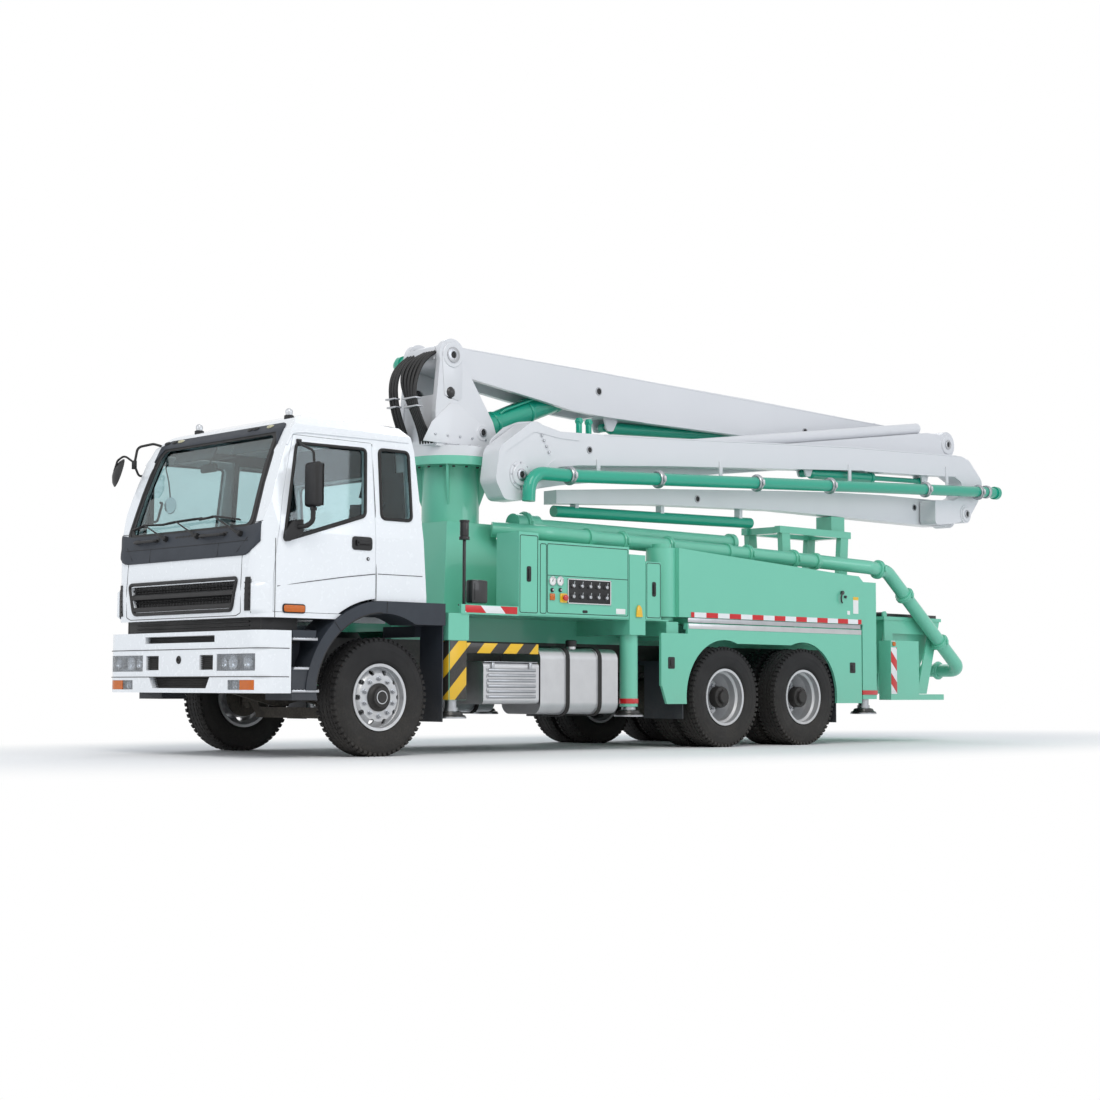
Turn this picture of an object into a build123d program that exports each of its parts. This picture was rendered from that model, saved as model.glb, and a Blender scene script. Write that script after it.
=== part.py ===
"""Truck-mounted concrete pump on a 6x4 chassis, boom folded for the road.

Millimetres, +Z up. The truck faces -Y, +X is its left side. The origin is on the
ground under the middle of the truck. A station is a distance back from the bumper's face.
"""

import os
from math import atan2, cos, degrees, hypot, radians, sin

from build123d import *

# ---- driving dimensions -------------------------------------------------------------
OVERALL_LENGTH = 11640
BODY_HALF = 1220  # half width over the body sides
FIT = 0.1  # running clearance at pins and bores
CLEAR = 6  # clearance between pieces that move past each other

# axles, wheels and tyres
FRONT_AXLE = 1340  # station
WHEELBASE = 4590  # front axle to the first rear axle
TANDEM = 1305  # first to second rear axle
TYRE_R = 525
TYRE_W = 292
TREAD_W = 236
BEAD_R = 286
RIM_W = 252  # over the flanges
FLANGE_R = 299
FRONT_RIM_X = 1175  # outer flange of the front rim
REAR_RIM_X = 1223  # outer flange of the outer rear rim
DUAL_GAP = 340  # between the planes of twin rims
KINGPIN_X = 862
SPINDLE_R = 42
TIE_ARM = 180

# frame
RAIL_HALF = 430
RAIL_Z = (790, 1070)
RAIL_END = 9180
SUB_TOP = 1300  # top of the pump's subframe, and of the deck beams
DECK_HALF = BODY_HALF - 60  # reach of the deck's cross beams

# cab
CAB_HALF = 1195
CAB_ROOF_HALF = CAB_HALF - 75
CAB_FLOOR = 1205
CAB_BELT = 1950
CAB_ROOF = 3075
CAB_WALL = 55
BUMPER_HALF = BODY_HALF + 12
LAMP_X = (596, BUMPER_HALF - 82)  # headlamp pocket
FOG_X = (766, BUMPER_HALF - 88)
CAB_BACK = 1850
GRILLE_Z = (1270, 1545)
GRILLE_HALF = 790  # at the grille's lower edge
GRILLE_RIM = 24
GRILLE_DEPTH = 38  # of the recess behind the slats
ARCH_R = 855  # outer radius of the front wheel arch
ARCH_T = 110

# slewing column and boom, in the plane of the folded boom
SLEW = 3150  # station of the slewing axis
RING_R = 455
RING_Z = 2900  # top of the fixed slewing ring
TABLE_TOP = 3000
EAR_IN = 222  # inner face of the turret's ears
EAR_T = 58
ROOT_PIN = (2920, 3910)  # station and height of each boom pin
PIN_12 = (OVERALL_LENGTH - 580, 3735)
PIN_23 = (3410, 2715)
PIN_34 = (OVERALL_LENGTH - 560, 2830)
RAM_PIN = (3320, 3170)
RAM_EYE = (4900, 3790)
BOOM_1_HALF = 210
BOOM_2_X = (312, 500)  # boom 2 and 4 share a plane beside boom 1
BOOM_3_X = (520, 750)
BOOM_4_UNDER = 2666  # underside of boom 4 over the trestle
LINE_R = 66  # concrete line
LINE_3_X = BOOM_3_X[1] + LINE_R + 34
LINE_3 = [
    (3437, 2450), (3450, 2738), (4000, 2745), (5960, 2846), (8770, 2995), (OVERALL_LENGTH - 200, 3130),
    (OVERALL_LENGTH - 40, 3130),
]
LINE_3_BENDS = [200, 100, 100, 100, 60]
LINE_4 = ((4200, 2430), (7300, 2500))
PIN_R = 45
LIFT_R = 130
ROD_R = 58
POCKET_HALF = LIFT_R + 20  # the slot in boom 1's belly that the lift ram works in
POCKET_TOP = 3950
FOLD_RAM_R = 67
FOLD_RAM_1 = ((5330, 3443), (9250, 3640))  # pins of the cylinder in boom 1's belly
FOLD_RAM_3 = ((8000, 3112), (10290, 3195))  # pins of the cylinder beside boom 3
SWIVEL_X = 500  # face of the concrete line's swivel at the root pin, on the far side

# outriggers: station of the jack
JACK_X = BODY_HALF - 125
FRONT_JACK = 2230
MID_JACK = 4600
REAR_JACK = 8480
ARM_PIVOT = (BODY_HALF - 210, 5180)  # x and station of the swinging arm's pivot
FOOT_Z = 330  # underside of a raised foot

# pump and hopper
PUMP_X = 165
PUMP_R = 115
PUMP_LINE = ((6890, 1580), (9330, 1010))  # axis of the delivery cylinders
HOPPER = (9250, 10330)  # stations of the hopper's mouth
HOPPER_Z = (560, 1480)
HOPPER_HALF = 840
GRATE_HINGE = (HOPPER[0] + 15, HOPPER_Z[1] + 30)
OUTLET_Z = 850
LINE_X = BODY_HALF - 270  # concrete line beside the hopper
DECK_LINE_X = 700  # and along the deck


ACROSS, AHEAD, UP = (1, 0, 0), (0, -1, 0), (0, 0, 1)


def y_at(station):
    return station - OVERALL_LENGTH / 2


# ---- small helpers ------------------------------------------------------------------
def block(x, station, z):
    """A box from three (low, high) pairs."""
    size = [x[1] - x[0], station[1] - station[0], z[1] - z[0]]
    middle = Pos((x[0] + x[1]) / 2, y_at((station[0] + station[1]) / 2), (z[0] + z[1]) / 2)
    return middle * Box(*size)


def side_plate(points, x, rounds=None):
    """A side outline of (station, z) points, as thick as the pair x. rounds gives corners their radius."""
    outline = Polygon(*[(y_at(s), z) for s, z in points], align=None)
    for corner, radius in (rounds or {}).items():
        s, z = points[corner]
        outline = fillet(outline.vertices().sort_by_distance((y_at(s), z, 0))[0], radius)
    return Pos(x[0], 0, 0) * extrude(Plane.YZ * outline, x[1] - x[0], dir=ACROSS)


def plan_plate(points, z):
    """A plan outline of (x, station) points, as thick as the pair z."""
    outline = Polygon(*[(px, y_at(s)) for px, s in points], align=None)
    return Pos(0, 0, z[0]) * extrude(Plane.XY * outline, z[1] - z[0], dir=UP)


def cross_plate(points, station):
    """A front outline of (x, z) points, as thick as the pair of stations."""
    outline = Polygon(*points, align=None)
    plane = Plane(origin=(0, y_at(station[1]), 0), x_dir=(1, 0, 0), z_dir=(0, -1, 0))
    return extrude(plane * outline, station[1] - station[0], dir=AHEAD)


def bar_x(radius, x, station, z):
    """A round bar across the truck."""
    middle = Pos((x[0] + x[1]) / 2, y_at(station), z)
    return middle * Rot(0, 90, 0) * Cylinder(radius, x[1] - x[0])


def bar_y(radius, x, station, z):
    middle = Pos(x, y_at((station[0] + station[1]) / 2), z)
    return middle * Rot(90, 0, 0) * Cylinder(radius, station[1] - station[0])


def bar_z(radius, x, station, z):
    return Pos(x, y_at(station), (z[0] + z[1]) / 2) * Cylinder(radius, z[1] - z[0])


def rod_between(radius, start, end, x=0):
    """A round bar in a side plane, between two (station, z) points."""
    run = hypot(end[0] - start[0], end[1] - start[1])
    tilt = degrees(atan2(end[1] - start[1], end[0] - start[0]))
    middle = Pos(x, y_at((start[0] + end[0]) / 2), (start[1] + end[1]) / 2)
    return middle * Rot(tilt, 0, 0) * Rot(90, 0, 0) * Cylinder(radius, run)


def along(start, end, run, offset=0):
    """The (station, z) point that lies run past start towards end, and offset above the line."""
    length = hypot(end[0] - start[0], end[1] - start[1])
    ds, dz = (end[0] - start[0]) / length, (end[1] - start[1]) / length
    return start[0] + ds * run - dz * offset, start[1] + dz * run + ds * offset


def pipe(radius, points, bends):
    """A round pipe through (x, station, z) points."""
    corners = [(px, y_at(s), z) for px, s, z in points]
    if len(corners) > 2:
        path = FilletPolyline(*corners, radius=bends)
    else:
        path = Polyline(*corners)
    start = Plane(origin=path @ 0, z_dir=path % 0)
    return sweep(start * Circle(radius), path=path)


def turned(points, side=1):
    """A solid of (x, radius) points turned about the wheel's axis, x outwards from the truck's middle."""
    outline = Polygon(*[(side * px, r) for px, r in points], align=None)
    return revolve(outline, Axis.X)


def at_axle(shape, station):
    return Pos(0, y_at(station), TYRE_R) * shape


def both(shape):
    """A shape and its mirror image on the truck's other side."""
    return shape + mirror(shape, Plane.YZ)


def loft_between(start, end, low, high, small, large, x=0):
    """A round cone in a side plane, low to high past start towards end, from a small to a large radius."""
    run = high - low
    tilt = degrees(atan2(end[1] - start[1], end[0] - start[0]))
    s, z = along(start, end, (low + high) / 2)
    return Pos(x, y_at(s), z) * Rot(tilt, 0, 0) * Rot(90, 0, 0) * Cone(large, small, run)


def fuse(*shapes):
    whole = shapes[0]
    for extra in shapes[1:]:
        whole = whole + extra
    return whole


REAR_AXLES = (FRONT_AXLE + WHEELBASE, FRONT_AXLE + WHEELBASE + TANDEM)
HUB_Z = TYRE_R


# ---- frame, axles and engine --------------------------------------------------------
def chassis_rails():
    web = 12
    flange = 85
    low, high = RAIL_Z
    channel = [
        (RAIL_HALF, low), (RAIL_HALF, high), (RAIL_HALF - flange, high),
        (RAIL_HALF - flange, high - web), (RAIL_HALF - web, high - web),
        (RAIL_HALF - web, low + web), (RAIL_HALF - flange, low + web), (RAIL_HALF - flange, low),
    ]
    frame = both(cross_plate(channel, (420, RAIL_END)))
    for station in (480, 2740, 3700, 5300, 6560, 7900):
        inner = RAIL_HALF - web
        frame += block((-inner, inner), (station - 45, station + 45), (low + 30, high - 30))
    return frame


def axles():
    # front beam: dropped in the middle, with a bored eye at each kingpin
    eye_half = 62
    eye_r = 58
    drop = HUB_Z - 150
    seat = KINGPIN_X - 130
    beam = block((-seat + 60, seat - 60), (FRONT_AXLE - 45, FRONT_AXLE + 45), (drop - 50, drop + 50))
    rise = [
        (seat - 90, drop - 50), (KINGPIN_X - 70, HUB_Z - 56), (KINGPIN_X - 10, HUB_Z - 56),
        (KINGPIN_X - 10, HUB_Z + 52), (seat, HUB_Z + 30), (seat - 120, drop + 50),
    ]
    arms = both(cross_plate(rise, (FRONT_AXLE - 38, FRONT_AXLE + 38)))
    eye = bar_z(eye_r, KINGPIN_X, FRONT_AXLE, (HUB_Z - eye_half, HUB_Z + eye_half))
    bore = bar_z(26 + FIT, KINGPIN_X, FRONT_AXLE, (HUB_Z - 200, HUB_Z + 200))
    beam = beam + arms + both(eye) - both(bore)
    # leaf springs, from hanger to hanger, with the axle clamped in the middle
    spring_x = (RAIL_HALF - 75, RAIL_HALF - 5)
    camber = 55
    front = [
        (FRONT_AXLE - 800, drop + 250), (FRONT_AXLE, drop + 50), (FRONT_AXLE + 800, drop + 250),
        (FRONT_AXLE + 800, drop + 290), (FRONT_AXLE, drop + 50 + camber + 40),
        (FRONT_AXLE - 800, drop + 290),
    ]
    spring = side_plate(front, spring_x)
    hangers = [
        block(spring_x, (FRONT_AXLE + at - 50, FRONT_AXLE + at + 50), (drop + 240, RAIL_Z[0]))
        for at in (-800, 800)
    ]
    pieces = beam + both(fuse(spring, *hangers))
    # rear axles on a shared spring that rocks on the middle bracket
    spindle_end = REAR_RIM_X - 110
    middle = sum(REAR_AXLES) / 2
    for station in REAR_AXLES:
        pieces += bar_x(75, (-610, 610), station, HUB_Z)
        pieces += bar_x(SPINDLE_R, (-spindle_end, spindle_end), station, HUB_Z)
        pieces += Pos(60, y_at(station), HUB_Z) * Sphere(205)
    spring_z = HUB_Z + 75
    leaves = [
        (REAR_AXLES[0] - 90, spring_z), (REAR_AXLES[1] + 90, spring_z),
        (REAR_AXLES[1] + 90, spring_z + 45), (middle + 170, spring_z + 150),
        (middle - 170, spring_z + 150), (REAR_AXLES[0] - 90, spring_z + 45),
    ]
    saddle = block((RAIL_HALF - 85, RAIL_HALF + 10), (middle - 120, middle + 120), (spring_z + 120, RAIL_Z[0]))
    rear_spring = side_plate(leaves, (RAIL_HALF - 85, RAIL_HALF + 5)) + saddle
    pieces += both(rear_spring)
    # propeller shafts
    pieces += rod_between(52, (2664, RAIL_Z[0] - 60), (REAR_AXLES[0] - 120, HUB_Z + 20), 60)
    pieces += rod_between(48, (REAR_AXLES[0] + 100, HUB_Z + 60), (REAR_AXLES[1] - 120, HUB_Z + 40), 60)
    return pieces


def engine():
    lump = block((-330, 330), (700, 1780), (640, 1130))
    lump = chamfer(lump.edges().filter_by(Axis.Y), 60)
    gearbox = block((-190, 190), (1780, 2650), (640, 960))
    mounts = [block((320, RAIL_HALF - 12), (s - 50, s + 50), (850, 950)) for s in (950, 1650)]
    return lump + chamfer(gearbox.edges().filter_by(Axis.Y), 40) + both(fuse(*mounts))


def knuckle(side):
    """Lugs above and below the beam's eye, kingpin, spindle, back plate and steering arm."""
    lug = 100
    low = bar_z(60, KINGPIN_X, FRONT_AXLE, (HUB_Z - lug, HUB_Z - 68))
    high = bar_z(60, KINGPIN_X, FRONT_AXLE, (HUB_Z + 68, HUB_Z + lug))
    pin = bar_z(26, KINGPIN_X, FRONT_AXLE, (HUB_Z - lug - 12, HUB_Z + lug + 12))
    post = block((KINGPIN_X + 64, KINGPIN_X + 84), (FRONT_AXLE - 55, FRONT_AXLE + 55), (HUB_Z - lug, HUB_Z + lug))
    links = [
        block((KINGPIN_X + 10, KINGPIN_X + 70), (FRONT_AXLE - 45, FRONT_AXLE + 45), z)
        for z in ((HUB_Z - lug, HUB_Z - 68), (HUB_Z + 68, HUB_Z + lug))
    ]
    plate = bar_x(195, (KINGPIN_X + 76, KINGPIN_X + 88), FRONT_AXLE, HUB_Z)
    spindle = bar_x(SPINDLE_R, (KINGPIN_X + 80, FRONT_RIM_X - 70), FRONT_AXLE, HUB_Z)
    arm = block((KINGPIN_X - 40, KINGPIN_X - 5), (FRONT_AXLE, FRONT_AXLE + TIE_ARM), (HUB_Z - lug, HUB_Z - 70))
    ball = bar_z(34, KINGPIN_X - 22, FRONT_AXLE + TIE_ARM, (HUB_Z - lug, HUB_Z - 66))
    whole = fuse(low, high, pin, post, *links, plate, spindle, arm, ball)
    return whole if side > 0 else mirror(whole, Plane.YZ)


def tie_rod():
    z = HUB_Z - 100 - FIT - 22
    reach = KINGPIN_X - 22
    ends = both(bar_z(36, reach, FRONT_AXLE + TIE_ARM, (z - 22, z + 22)))
    return ends + bar_x(20, (-reach, reach), FRONT_AXLE + TIE_ARM, z)


# ---- wheels -------------------------------------------------------------------------
def tyre(rim_x, side):
    """A tyre whose rim's outer flange is at rim_x."""
    middle = rim_x - RIM_W / 2
    half, tread = TYRE_W / 2, TREAD_W / 2
    seat = BEAD_R + FIT
    profile = [
        (middle - RIM_W / 2 + 16, seat), (middle - RIM_W / 2 + 16, FLANGE_R + 2),
        (middle - half, seat + 90), (middle - half + 8, TYRE_R - 60),
        (middle - tread, TYRE_R - 8), (middle - tread + 26, TYRE_R), (middle + tread - 26, TYRE_R),
        (middle + tread, TYRE_R - 8), (middle + half - 8, TYRE_R - 60), (middle + half, seat + 90),
        (middle + RIM_W / 2 - 16, FLANGE_R + 2), (middle + RIM_W / 2 - 16, seat),
    ]
    return turned(profile, side)


def rim_ring(rim_x):
    """The well of a rim as (x, radius) points: two flanges and a drop between the beads."""
    wall = 12
    inner = rim_x - RIM_W
    return [
        (rim_x, FLANGE_R), (rim_x - 13, FLANGE_R), (rim_x - 15, BEAD_R), (rim_x - 60, BEAD_R),
        (rim_x - 80, BEAD_R - 22), (inner + 80, BEAD_R - 22), (inner + 60, BEAD_R),
        (inner + 15, BEAD_R), (inner + 13, FLANGE_R), (inner, FLANGE_R),
        (inner + 3, BEAD_R - wall), (inner + 65, BEAD_R - wall), (inner + 84, BEAD_R - 22 - wall),
        (rim_x - 84, BEAD_R - 22 - wall), (rim_x - 65, BEAD_R - wall), (rim_x - 3, BEAD_R - wall),
    ]


def hand_holes(pcd_r, hole_r, x, count=10):
    holes = bar_x(hole_r, x, 0, 0)
    ring = Pos(0, -y_at(0), 0) * holes
    cut = [Rot(360 * n / count, 0, 0) * Pos(0, pcd_r, 0) * ring for n in range(count)]
    return fuse(*cut)


def front_rim(side):
    """Rim, flat disc with hand holes, brake drum and hub with a blind bore."""
    face = FRONT_RIM_X - 22
    disc = [
        (face - 48, 268), (face, 214), (face, 100), (face - 14, 100), (face - 14, 208), (face - 64, 256),
    ]
    hub = [
        (FRONT_RIM_X + 34, 0), (FRONT_RIM_X + 34, 60), (FRONT_RIM_X + 4, 84), (FRONT_RIM_X - 20, 110),
        (FRONT_RIM_X - 60, 128), (FRONT_RIM_X - 200, 128), (FRONT_RIM_X - 200, 0),
    ]
    drum = [
        (FRONT_RIM_X - 190, 110), (FRONT_RIM_X - 190, 205), (FRONT_RIM_X - 60, 205), (FRONT_RIM_X - 60, 110),
    ]
    whole = fuse(*[turned(p) for p in (rim_ring(FRONT_RIM_X), disc, hub, drum)])
    whole -= turned([
        (FRONT_RIM_X - 210, 0), (FRONT_RIM_X - 210, SPINDLE_R + FIT),
        (FRONT_RIM_X - 64, SPINDLE_R + FIT), (FRONT_RIM_X - 64, 0),
    ])
    whole -= hand_holes(226, 24, (face - 90, face + 20))
    return at_axle(whole if side > 0 else mirror(whole, Plane.YZ), FRONT_AXLE)


def rear_rims(side, station):
    """Twin rims bolted back to back, with a deep outer dish, drum and hub."""
    inner_x = REAR_RIM_X - DUAL_GAP
    seat = REAR_RIM_X - RIM_W - 28
    dish = [
        (REAR_RIM_X - 150, 255), (seat + 14, 206), (seat + 14, 90), (seat, 90), (seat, 212),
        (REAR_RIM_X - 168, 262),
    ]
    back = [
        (inner_x - 20, 280), (seat, 215), (seat, 90), (seat - 14, 90), (seat - 14, 205), (inner_x - 34, 276),
    ]
    hub = [
        (REAR_RIM_X - 40, 0), (REAR_RIM_X - 40, 78), (REAR_RIM_X - 60, 96), (seat + 60, 110),
        (seat + 14, 132), (seat - 300, 132), (seat - 300, 0),
    ]
    drum = [(seat - 14, 120), (seat - 14, 203), (seat - 240, 203), (seat - 240, 120)]
    rings = [turned(rim_ring(REAR_RIM_X)), turned(rim_ring(inner_x))]
    whole = fuse(*rings, *[turned(p) for p in (dish, back, hub, drum)])
    whole -= turned([
        (seat - 310, 0), (seat - 310, SPINDLE_R + FIT), (REAR_RIM_X - 100, SPINDLE_R + FIT), (REAR_RIM_X - 100, 0),
    ])
    whole -= hand_holes(182, 27, (seat - 30, seat + 60))
    return at_axle(whole if side > 0 else mirror(whole, Plane.YZ), station)


def rear_tyres(side, station):
    pair = tyre(REAR_RIM_X, side) + tyre(REAR_RIM_X - DUAL_GAP, side)
    return at_axle(pair, station)


# ---- cab ----------------------------------------------------------------------------
def drawn_in(outline, inset):
    """An outline moved inwards by inset, with its corners kept sharp."""
    return offset(outline, -inset, kind=Kind.INTERSECTION) if inset else outline


def cab_form(inset):
    """The cab's outer form drawn in by inset: side, front and plan outlines, intersected."""
    side = [
        (20, CAB_FLOOR), (12, 1420), (25, 1700), (40, 1830), (90, 2030), (195, 2370), (305, 2665),
        (400, 2860), (520, 2970), (780, 3050), (1100, CAB_ROOF), (1560, CAB_ROOF - 15),
        (1700, 3000), (1745, 2880), (CAB_BACK, 1430), (CAB_BACK, CAB_FLOOR),
    ]
    front = [
        (CAB_HALF, CAB_FLOOR - 10), (CAB_HALF, CAB_BELT), (CAB_ROOF_HALF, 2760),
        (CAB_ROOF_HALF - 40, 2900), (CAB_ROOF_HALF - 170, 2990), (CAB_ROOF_HALF - 420, CAB_ROOF - 20),
        (0, CAB_ROOF + 5),
    ]
    front = front + [(-x, z) for x, z in reversed(front[:-1])]
    outline = drawn_in(Polygon(*[(y_at(s), z) for s, z in side], align=None), inset)
    long = Pos(-1500, 0, 0) * extrude(Plane.YZ * outline, 3000, dir=ACROSS)
    outline = drawn_in(Polygon(*front, align=None), inset)
    across = Plane(origin=(0, y_at(3000), 0), x_dir=(1, 0, 0), z_dir=(0, -1, 0))
    wide = extrude(across * outline, 3400, dir=AHEAD)
    corner = 250 - inset
    plan = Rectangle(2 * (CAB_HALF - inset), CAB_BACK - 10 - 2 * inset)
    bow = [v for v in plan.vertices() if v.Y < 0]
    plan = fillet(bow, corner)
    tall = Pos(0, y_at((CAB_BACK + 10) / 2), 1000) * extrude(plan, 2400, dir=UP)
    return long & wide & tall


def door_outline(grow):
    """The door's shut line as (station, z) points, grown by grow."""
    g = grow
    return [
        (170 - g, CAB_FLOOR + 45 - g), (170 - g, 1560), (200 - g, 1860), (262 - g, 2250), (345 - g, 2600),
        (400 - g, 2800 + g), (1262 + g, 2800 + g), (1262 + g, CAB_FLOOR + 45 - g),
    ]


DOOR_WINDOW = [(262, 1860), (1150, 2130), (1190, 2735), (432, 2725)]
QUARTER_WINDOW = [(1335, 2120), (1681, 2120), (1681, 2750), (1342, 2750)]
WINDSCREEN = [(-985, 1995), (985, 1995), (925, 2835), (-925, 2835)]


def window_cut(points, x, radius, grow=0):
    """A window's opening through the side of the cab, with round corners."""
    outline = Polygon(*[(y_at(s), z) for s, z in points], align=None)
    if grow:
        outline = offset(outline, grow, kind=Kind.INTERSECTION)
    outline = fillet(outline.vertices(), radius)
    return Pos(x[0], 0, 0) * extrude(Plane.YZ * outline, x[1] - x[0], dir=ACROSS)


def screen_cut(grow=0):
    outline = Polygon(*WINDSCREEN, align=None)
    if grow:
        outline = offset(outline, grow, kind=Kind.INTERSECTION)
    outline = fillet(outline.vertices(), 60)
    plane = Plane(origin=(0, y_at(700), 0), x_dir=(1, 0, 0), z_dir=(0, -1, 0))
    return extrude(plane * outline, 900, dir=AHEAD)


def back_cut(grow=0):
    outline = RectangleRounded(1300 + 2 * grow, 420 + 2 * grow, 70)
    plane = Plane(origin=(0, y_at(2100), 2350), x_dir=(1, 0, 0), z_dir=(0, -1, 0))
    return extrude(plane * outline, 500, dir=AHEAD)


def arch_cut(radius):
    """The room that the cab leaves for the front wheel's arch."""
    wheel = bar_x(radius, (600, 1500), FRONT_AXLE, HUB_Z)
    back = block((600, 1500), (FRONT_AXLE, 2100), (900, HUB_Z + radius))
    return both(wheel + back)


def door(side, skin):
    reach = (CAB_HALF - 200, CAB_HALF + 50)
    panel = skin & side_plate(door_outline(-4), reach)
    panel -= window_cut(DOOR_WINDOW, reach, 40)
    panel -= arch_cut(ARCH_R + 22)
    return panel if side > 0 else mirror(panel, Plane.YZ)


def door_glass(side, pane):
    glass = pane & window_cut(DOOR_WINDOW, (CAB_HALF - 200, CAB_HALF + 50), 40, -FIT)
    return glass if side > 0 else mirror(glass, Plane.YZ)


def grille_form(depth, rim):
    """The cab's front inside the grille's outline, drawn in by rim, down to a depth under the skin."""
    low, high = GRILLE_Z
    half = GRILLE_HALF
    outline = [(rim - half, low + rim), (half - rim, low + rim), (half + 80 - rim, high - rim), (rim - half - 80, high - rim)]
    return cross_plate(outline, (-300, 620)) - cab_form(depth)


def cab_shell(skin):
    shell = skin - both(side_plate(door_outline(0), (CAB_HALF - 200, CAB_HALF + 50)))
    shell -= both(window_cut(QUARTER_WINDOW, (CAB_HALF - 250, CAB_HALF + 50), 45))
    shell -= screen_cut()
    shell -= back_cut()
    shell -= grille_form(GRILLE_DEPTH, GRILLE_RIM)
    shell -= arch_cut(ARCH_R + 2)
    # the engine tunnel under the floor is open below
    tunnel = block((-380, 380), (500, CAB_BACK + 50), (CAB_FLOOR - 50, CAB_FLOOR + CAB_WALL + 1))
    cover = block((-435, 435), (445, CAB_BACK - 30), (CAB_FLOOR + CAB_WALL, 1560))
    cover -= block((-380, 380), (500, CAB_BACK + 50), (CAB_FLOOR, 1505))
    return (shell - tunnel) + cover


def cab_glass(pane):
    side = window_cut(QUARTER_WINDOW, (CAB_HALF - 250, CAB_HALF + 50), 45, -FIT)
    return (pane & screen_cut(-FIT)) + (pane & back_cut(-FIT)) + (pane & both(side))


def cab_interior():
    """Dash, steering wheel and two seats, on the cab's floor."""
    floor = CAB_FLOOR + CAB_WALL + FIT
    dash = side_plate([(180, 1700), (560, 1760), (560, 1900), (440, 2000), (220, 1960)],
                      (155 - CAB_HALF, CAB_HALF - 155))
    pedestal = block((-425, 425), (250, 440), (floor, 1760))
    column = rod_between(35, (520, 1800), (713, 2006), 560)
    wheel = Pos(560, y_at(715), 2010) * Rot(-38, 0, 0) * Torus(215, 17)
    spokes = Pos(560, y_at(715), 2010) * Rot(-38, 0, 0) * (Box(420, 40, 14) + Cylinder(60, 30))
    pieces = dash + pedestal + column + wheel + spokes
    for x in (-700, 700):
        low, high = x - 245, x + 245
        base = block((x - 170, x + 170), (1010, 1330), (floor, 1560))
        cushion = block((low, high), (900, 1400), (1560, 1700))
        back = side_plate([(1340, 1700), (1460, 1700), (1610, 2330), (1490, 2330)], (low + 10, high - 10))
        rest = side_plate([(1505, 2340), (1600, 2340), (1640, 2520), (1550, 2520)], (x - 130, x + 130))
        neck = side_plate([(1530, 2320), (1570, 2320), (1580, 2350), (1540, 2350)], (x - 60, x + 60))
        pieces += fuse(base, cushion, back, neck, rest)
    return pieces


def cab_trim():
    """Dark trim on the cab's front: visor, panel under the screen, and a grille with slats in its recess."""
    skin = cab_form(-14) - cab_form(-FIT)
    panel = [(-1040, 1790), (-940, 1735), (940, 1735), (1040, 1790), (1020, 1975), (-1020, 1975)]
    visor = [(-930, 2850), (930, 2850), (905, 2925), (-905, 2925)]
    low, high = GRILLE_Z
    half = GRILLE_HALF
    grille = [(-half, low), (half, low), (half + 80, high), (-half - 80, high)]
    front = (-300, 620)
    trim = fuse(*[skin & cross_plate(p, front) for p in (panel, visor, grille)])
    trim -= grille_form(-20, GRILLE_RIM)
    mouth = grille_form(GRILLE_DEPTH - FIT, GRILLE_RIM + FIT)
    trim += mouth & (cab_form(GRILLE_DEPTH - 8) - cab_form(GRILLE_DEPTH - FIT))
    slats = cab_form(-10) - cab_form(GRILLE_DEPTH - 4)
    for z in (low + 40, (low + high) / 2 - 40, (low + high) / 2 + 16, high - 68):
        trim += mouth & slats & block((-1000, 1000), (-300, 620), (z - 9, z + 9))
    return trim


def door_trim(side):
    """What the door carries outside: the mirror on its foot, the marker lamp, the far side's round mirror."""
    x = CAB_HALF + 155
    housing = block((x - 95, x + 95), (415, 500), (2154, 2540))
    housing = fillet(housing.edges().filter_by(Axis.Z) + housing.edges().filter_by(Axis.X), 26)
    foot = side_plate([(257, 1862), (442, 1930), (442, 2056), (330, 2040)], (CAB_HALF - 60, CAB_HALF + 48))
    arm = pipe(24, [(CAB_HALF + 20, 380, 1985), (x, 440, 2020), (x, 457, 2200)], 60)
    marker = block((CAB_HALF - 5, CAB_HALF + 18), (262, 488), (1251, 1316))
    marker = fillet(marker.edges().filter_by(Axis.X), 12)
    whole = (foot + arm) + housing
    if side < 0:
        disc = bar_y(140, x - 90, (80, 120), 2630)
        bracket = pipe(11, [(CAB_ROOF_HALF - 40, 470, 2770), (x - 90, 260, 2700), (x - 90, 118, 2640)], 40)
        drop = pipe(11, [(x - 60, 300, 2695), (x - 10, 400, 2650), (x, 457, 2500)], 40)
        whole += disc + bracket + drop
    whole = (whole + marker) - cab_form(-FIT)
    return whole if side > 0 else mirror(whole, Plane.YZ)


def bumper():
    """A bumper with round corners, intake slots and lamp pockets."""
    low, high = 560, 1095
    wrap = 330
    plan = Rectangle(2 * BUMPER_HALF, wrap)
    plan = fillet([v for v in plan.vertices() if v.Y < 0], 150)
    outer = Pos(0, y_at(wrap / 2), low) * extrude(plan, high - low, dir=UP)
    hollow = Rectangle(2 * BUMPER_HALF - 110, wrap)
    hollow = fillet([v for v in hollow.vertices() if v.Y < 0], 110)
    whole = outer - Pos(0, y_at(wrap / 2 + 70), low - 5) * extrude(hollow, high - low + 10, dir=UP)
    whole -= block((-560, 560), (-20, 60), (1000, 1060))
    whole -= cross_plate([(-490, 700), (490, 700), (430, 600), (-430, 600)], (-20, 200))
    for side in (1, -1):
        whole -= block(sorted((side * LAMP_X[0], side * LAMP_X[1])), (-20, 200), (750, 896))
        whole -= block(sorted((side * FOG_X[0], side * FOG_X[1])), (-20, 200), (587, 672))
        whole -= block(sorted((side * 330, side * 540)), (-20, 40), (760, 890))
        whole += block(sorted((side * 345, side * (RAIL_HALF - 12))), (60, 434), (820, 1010))
    return whole


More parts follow.
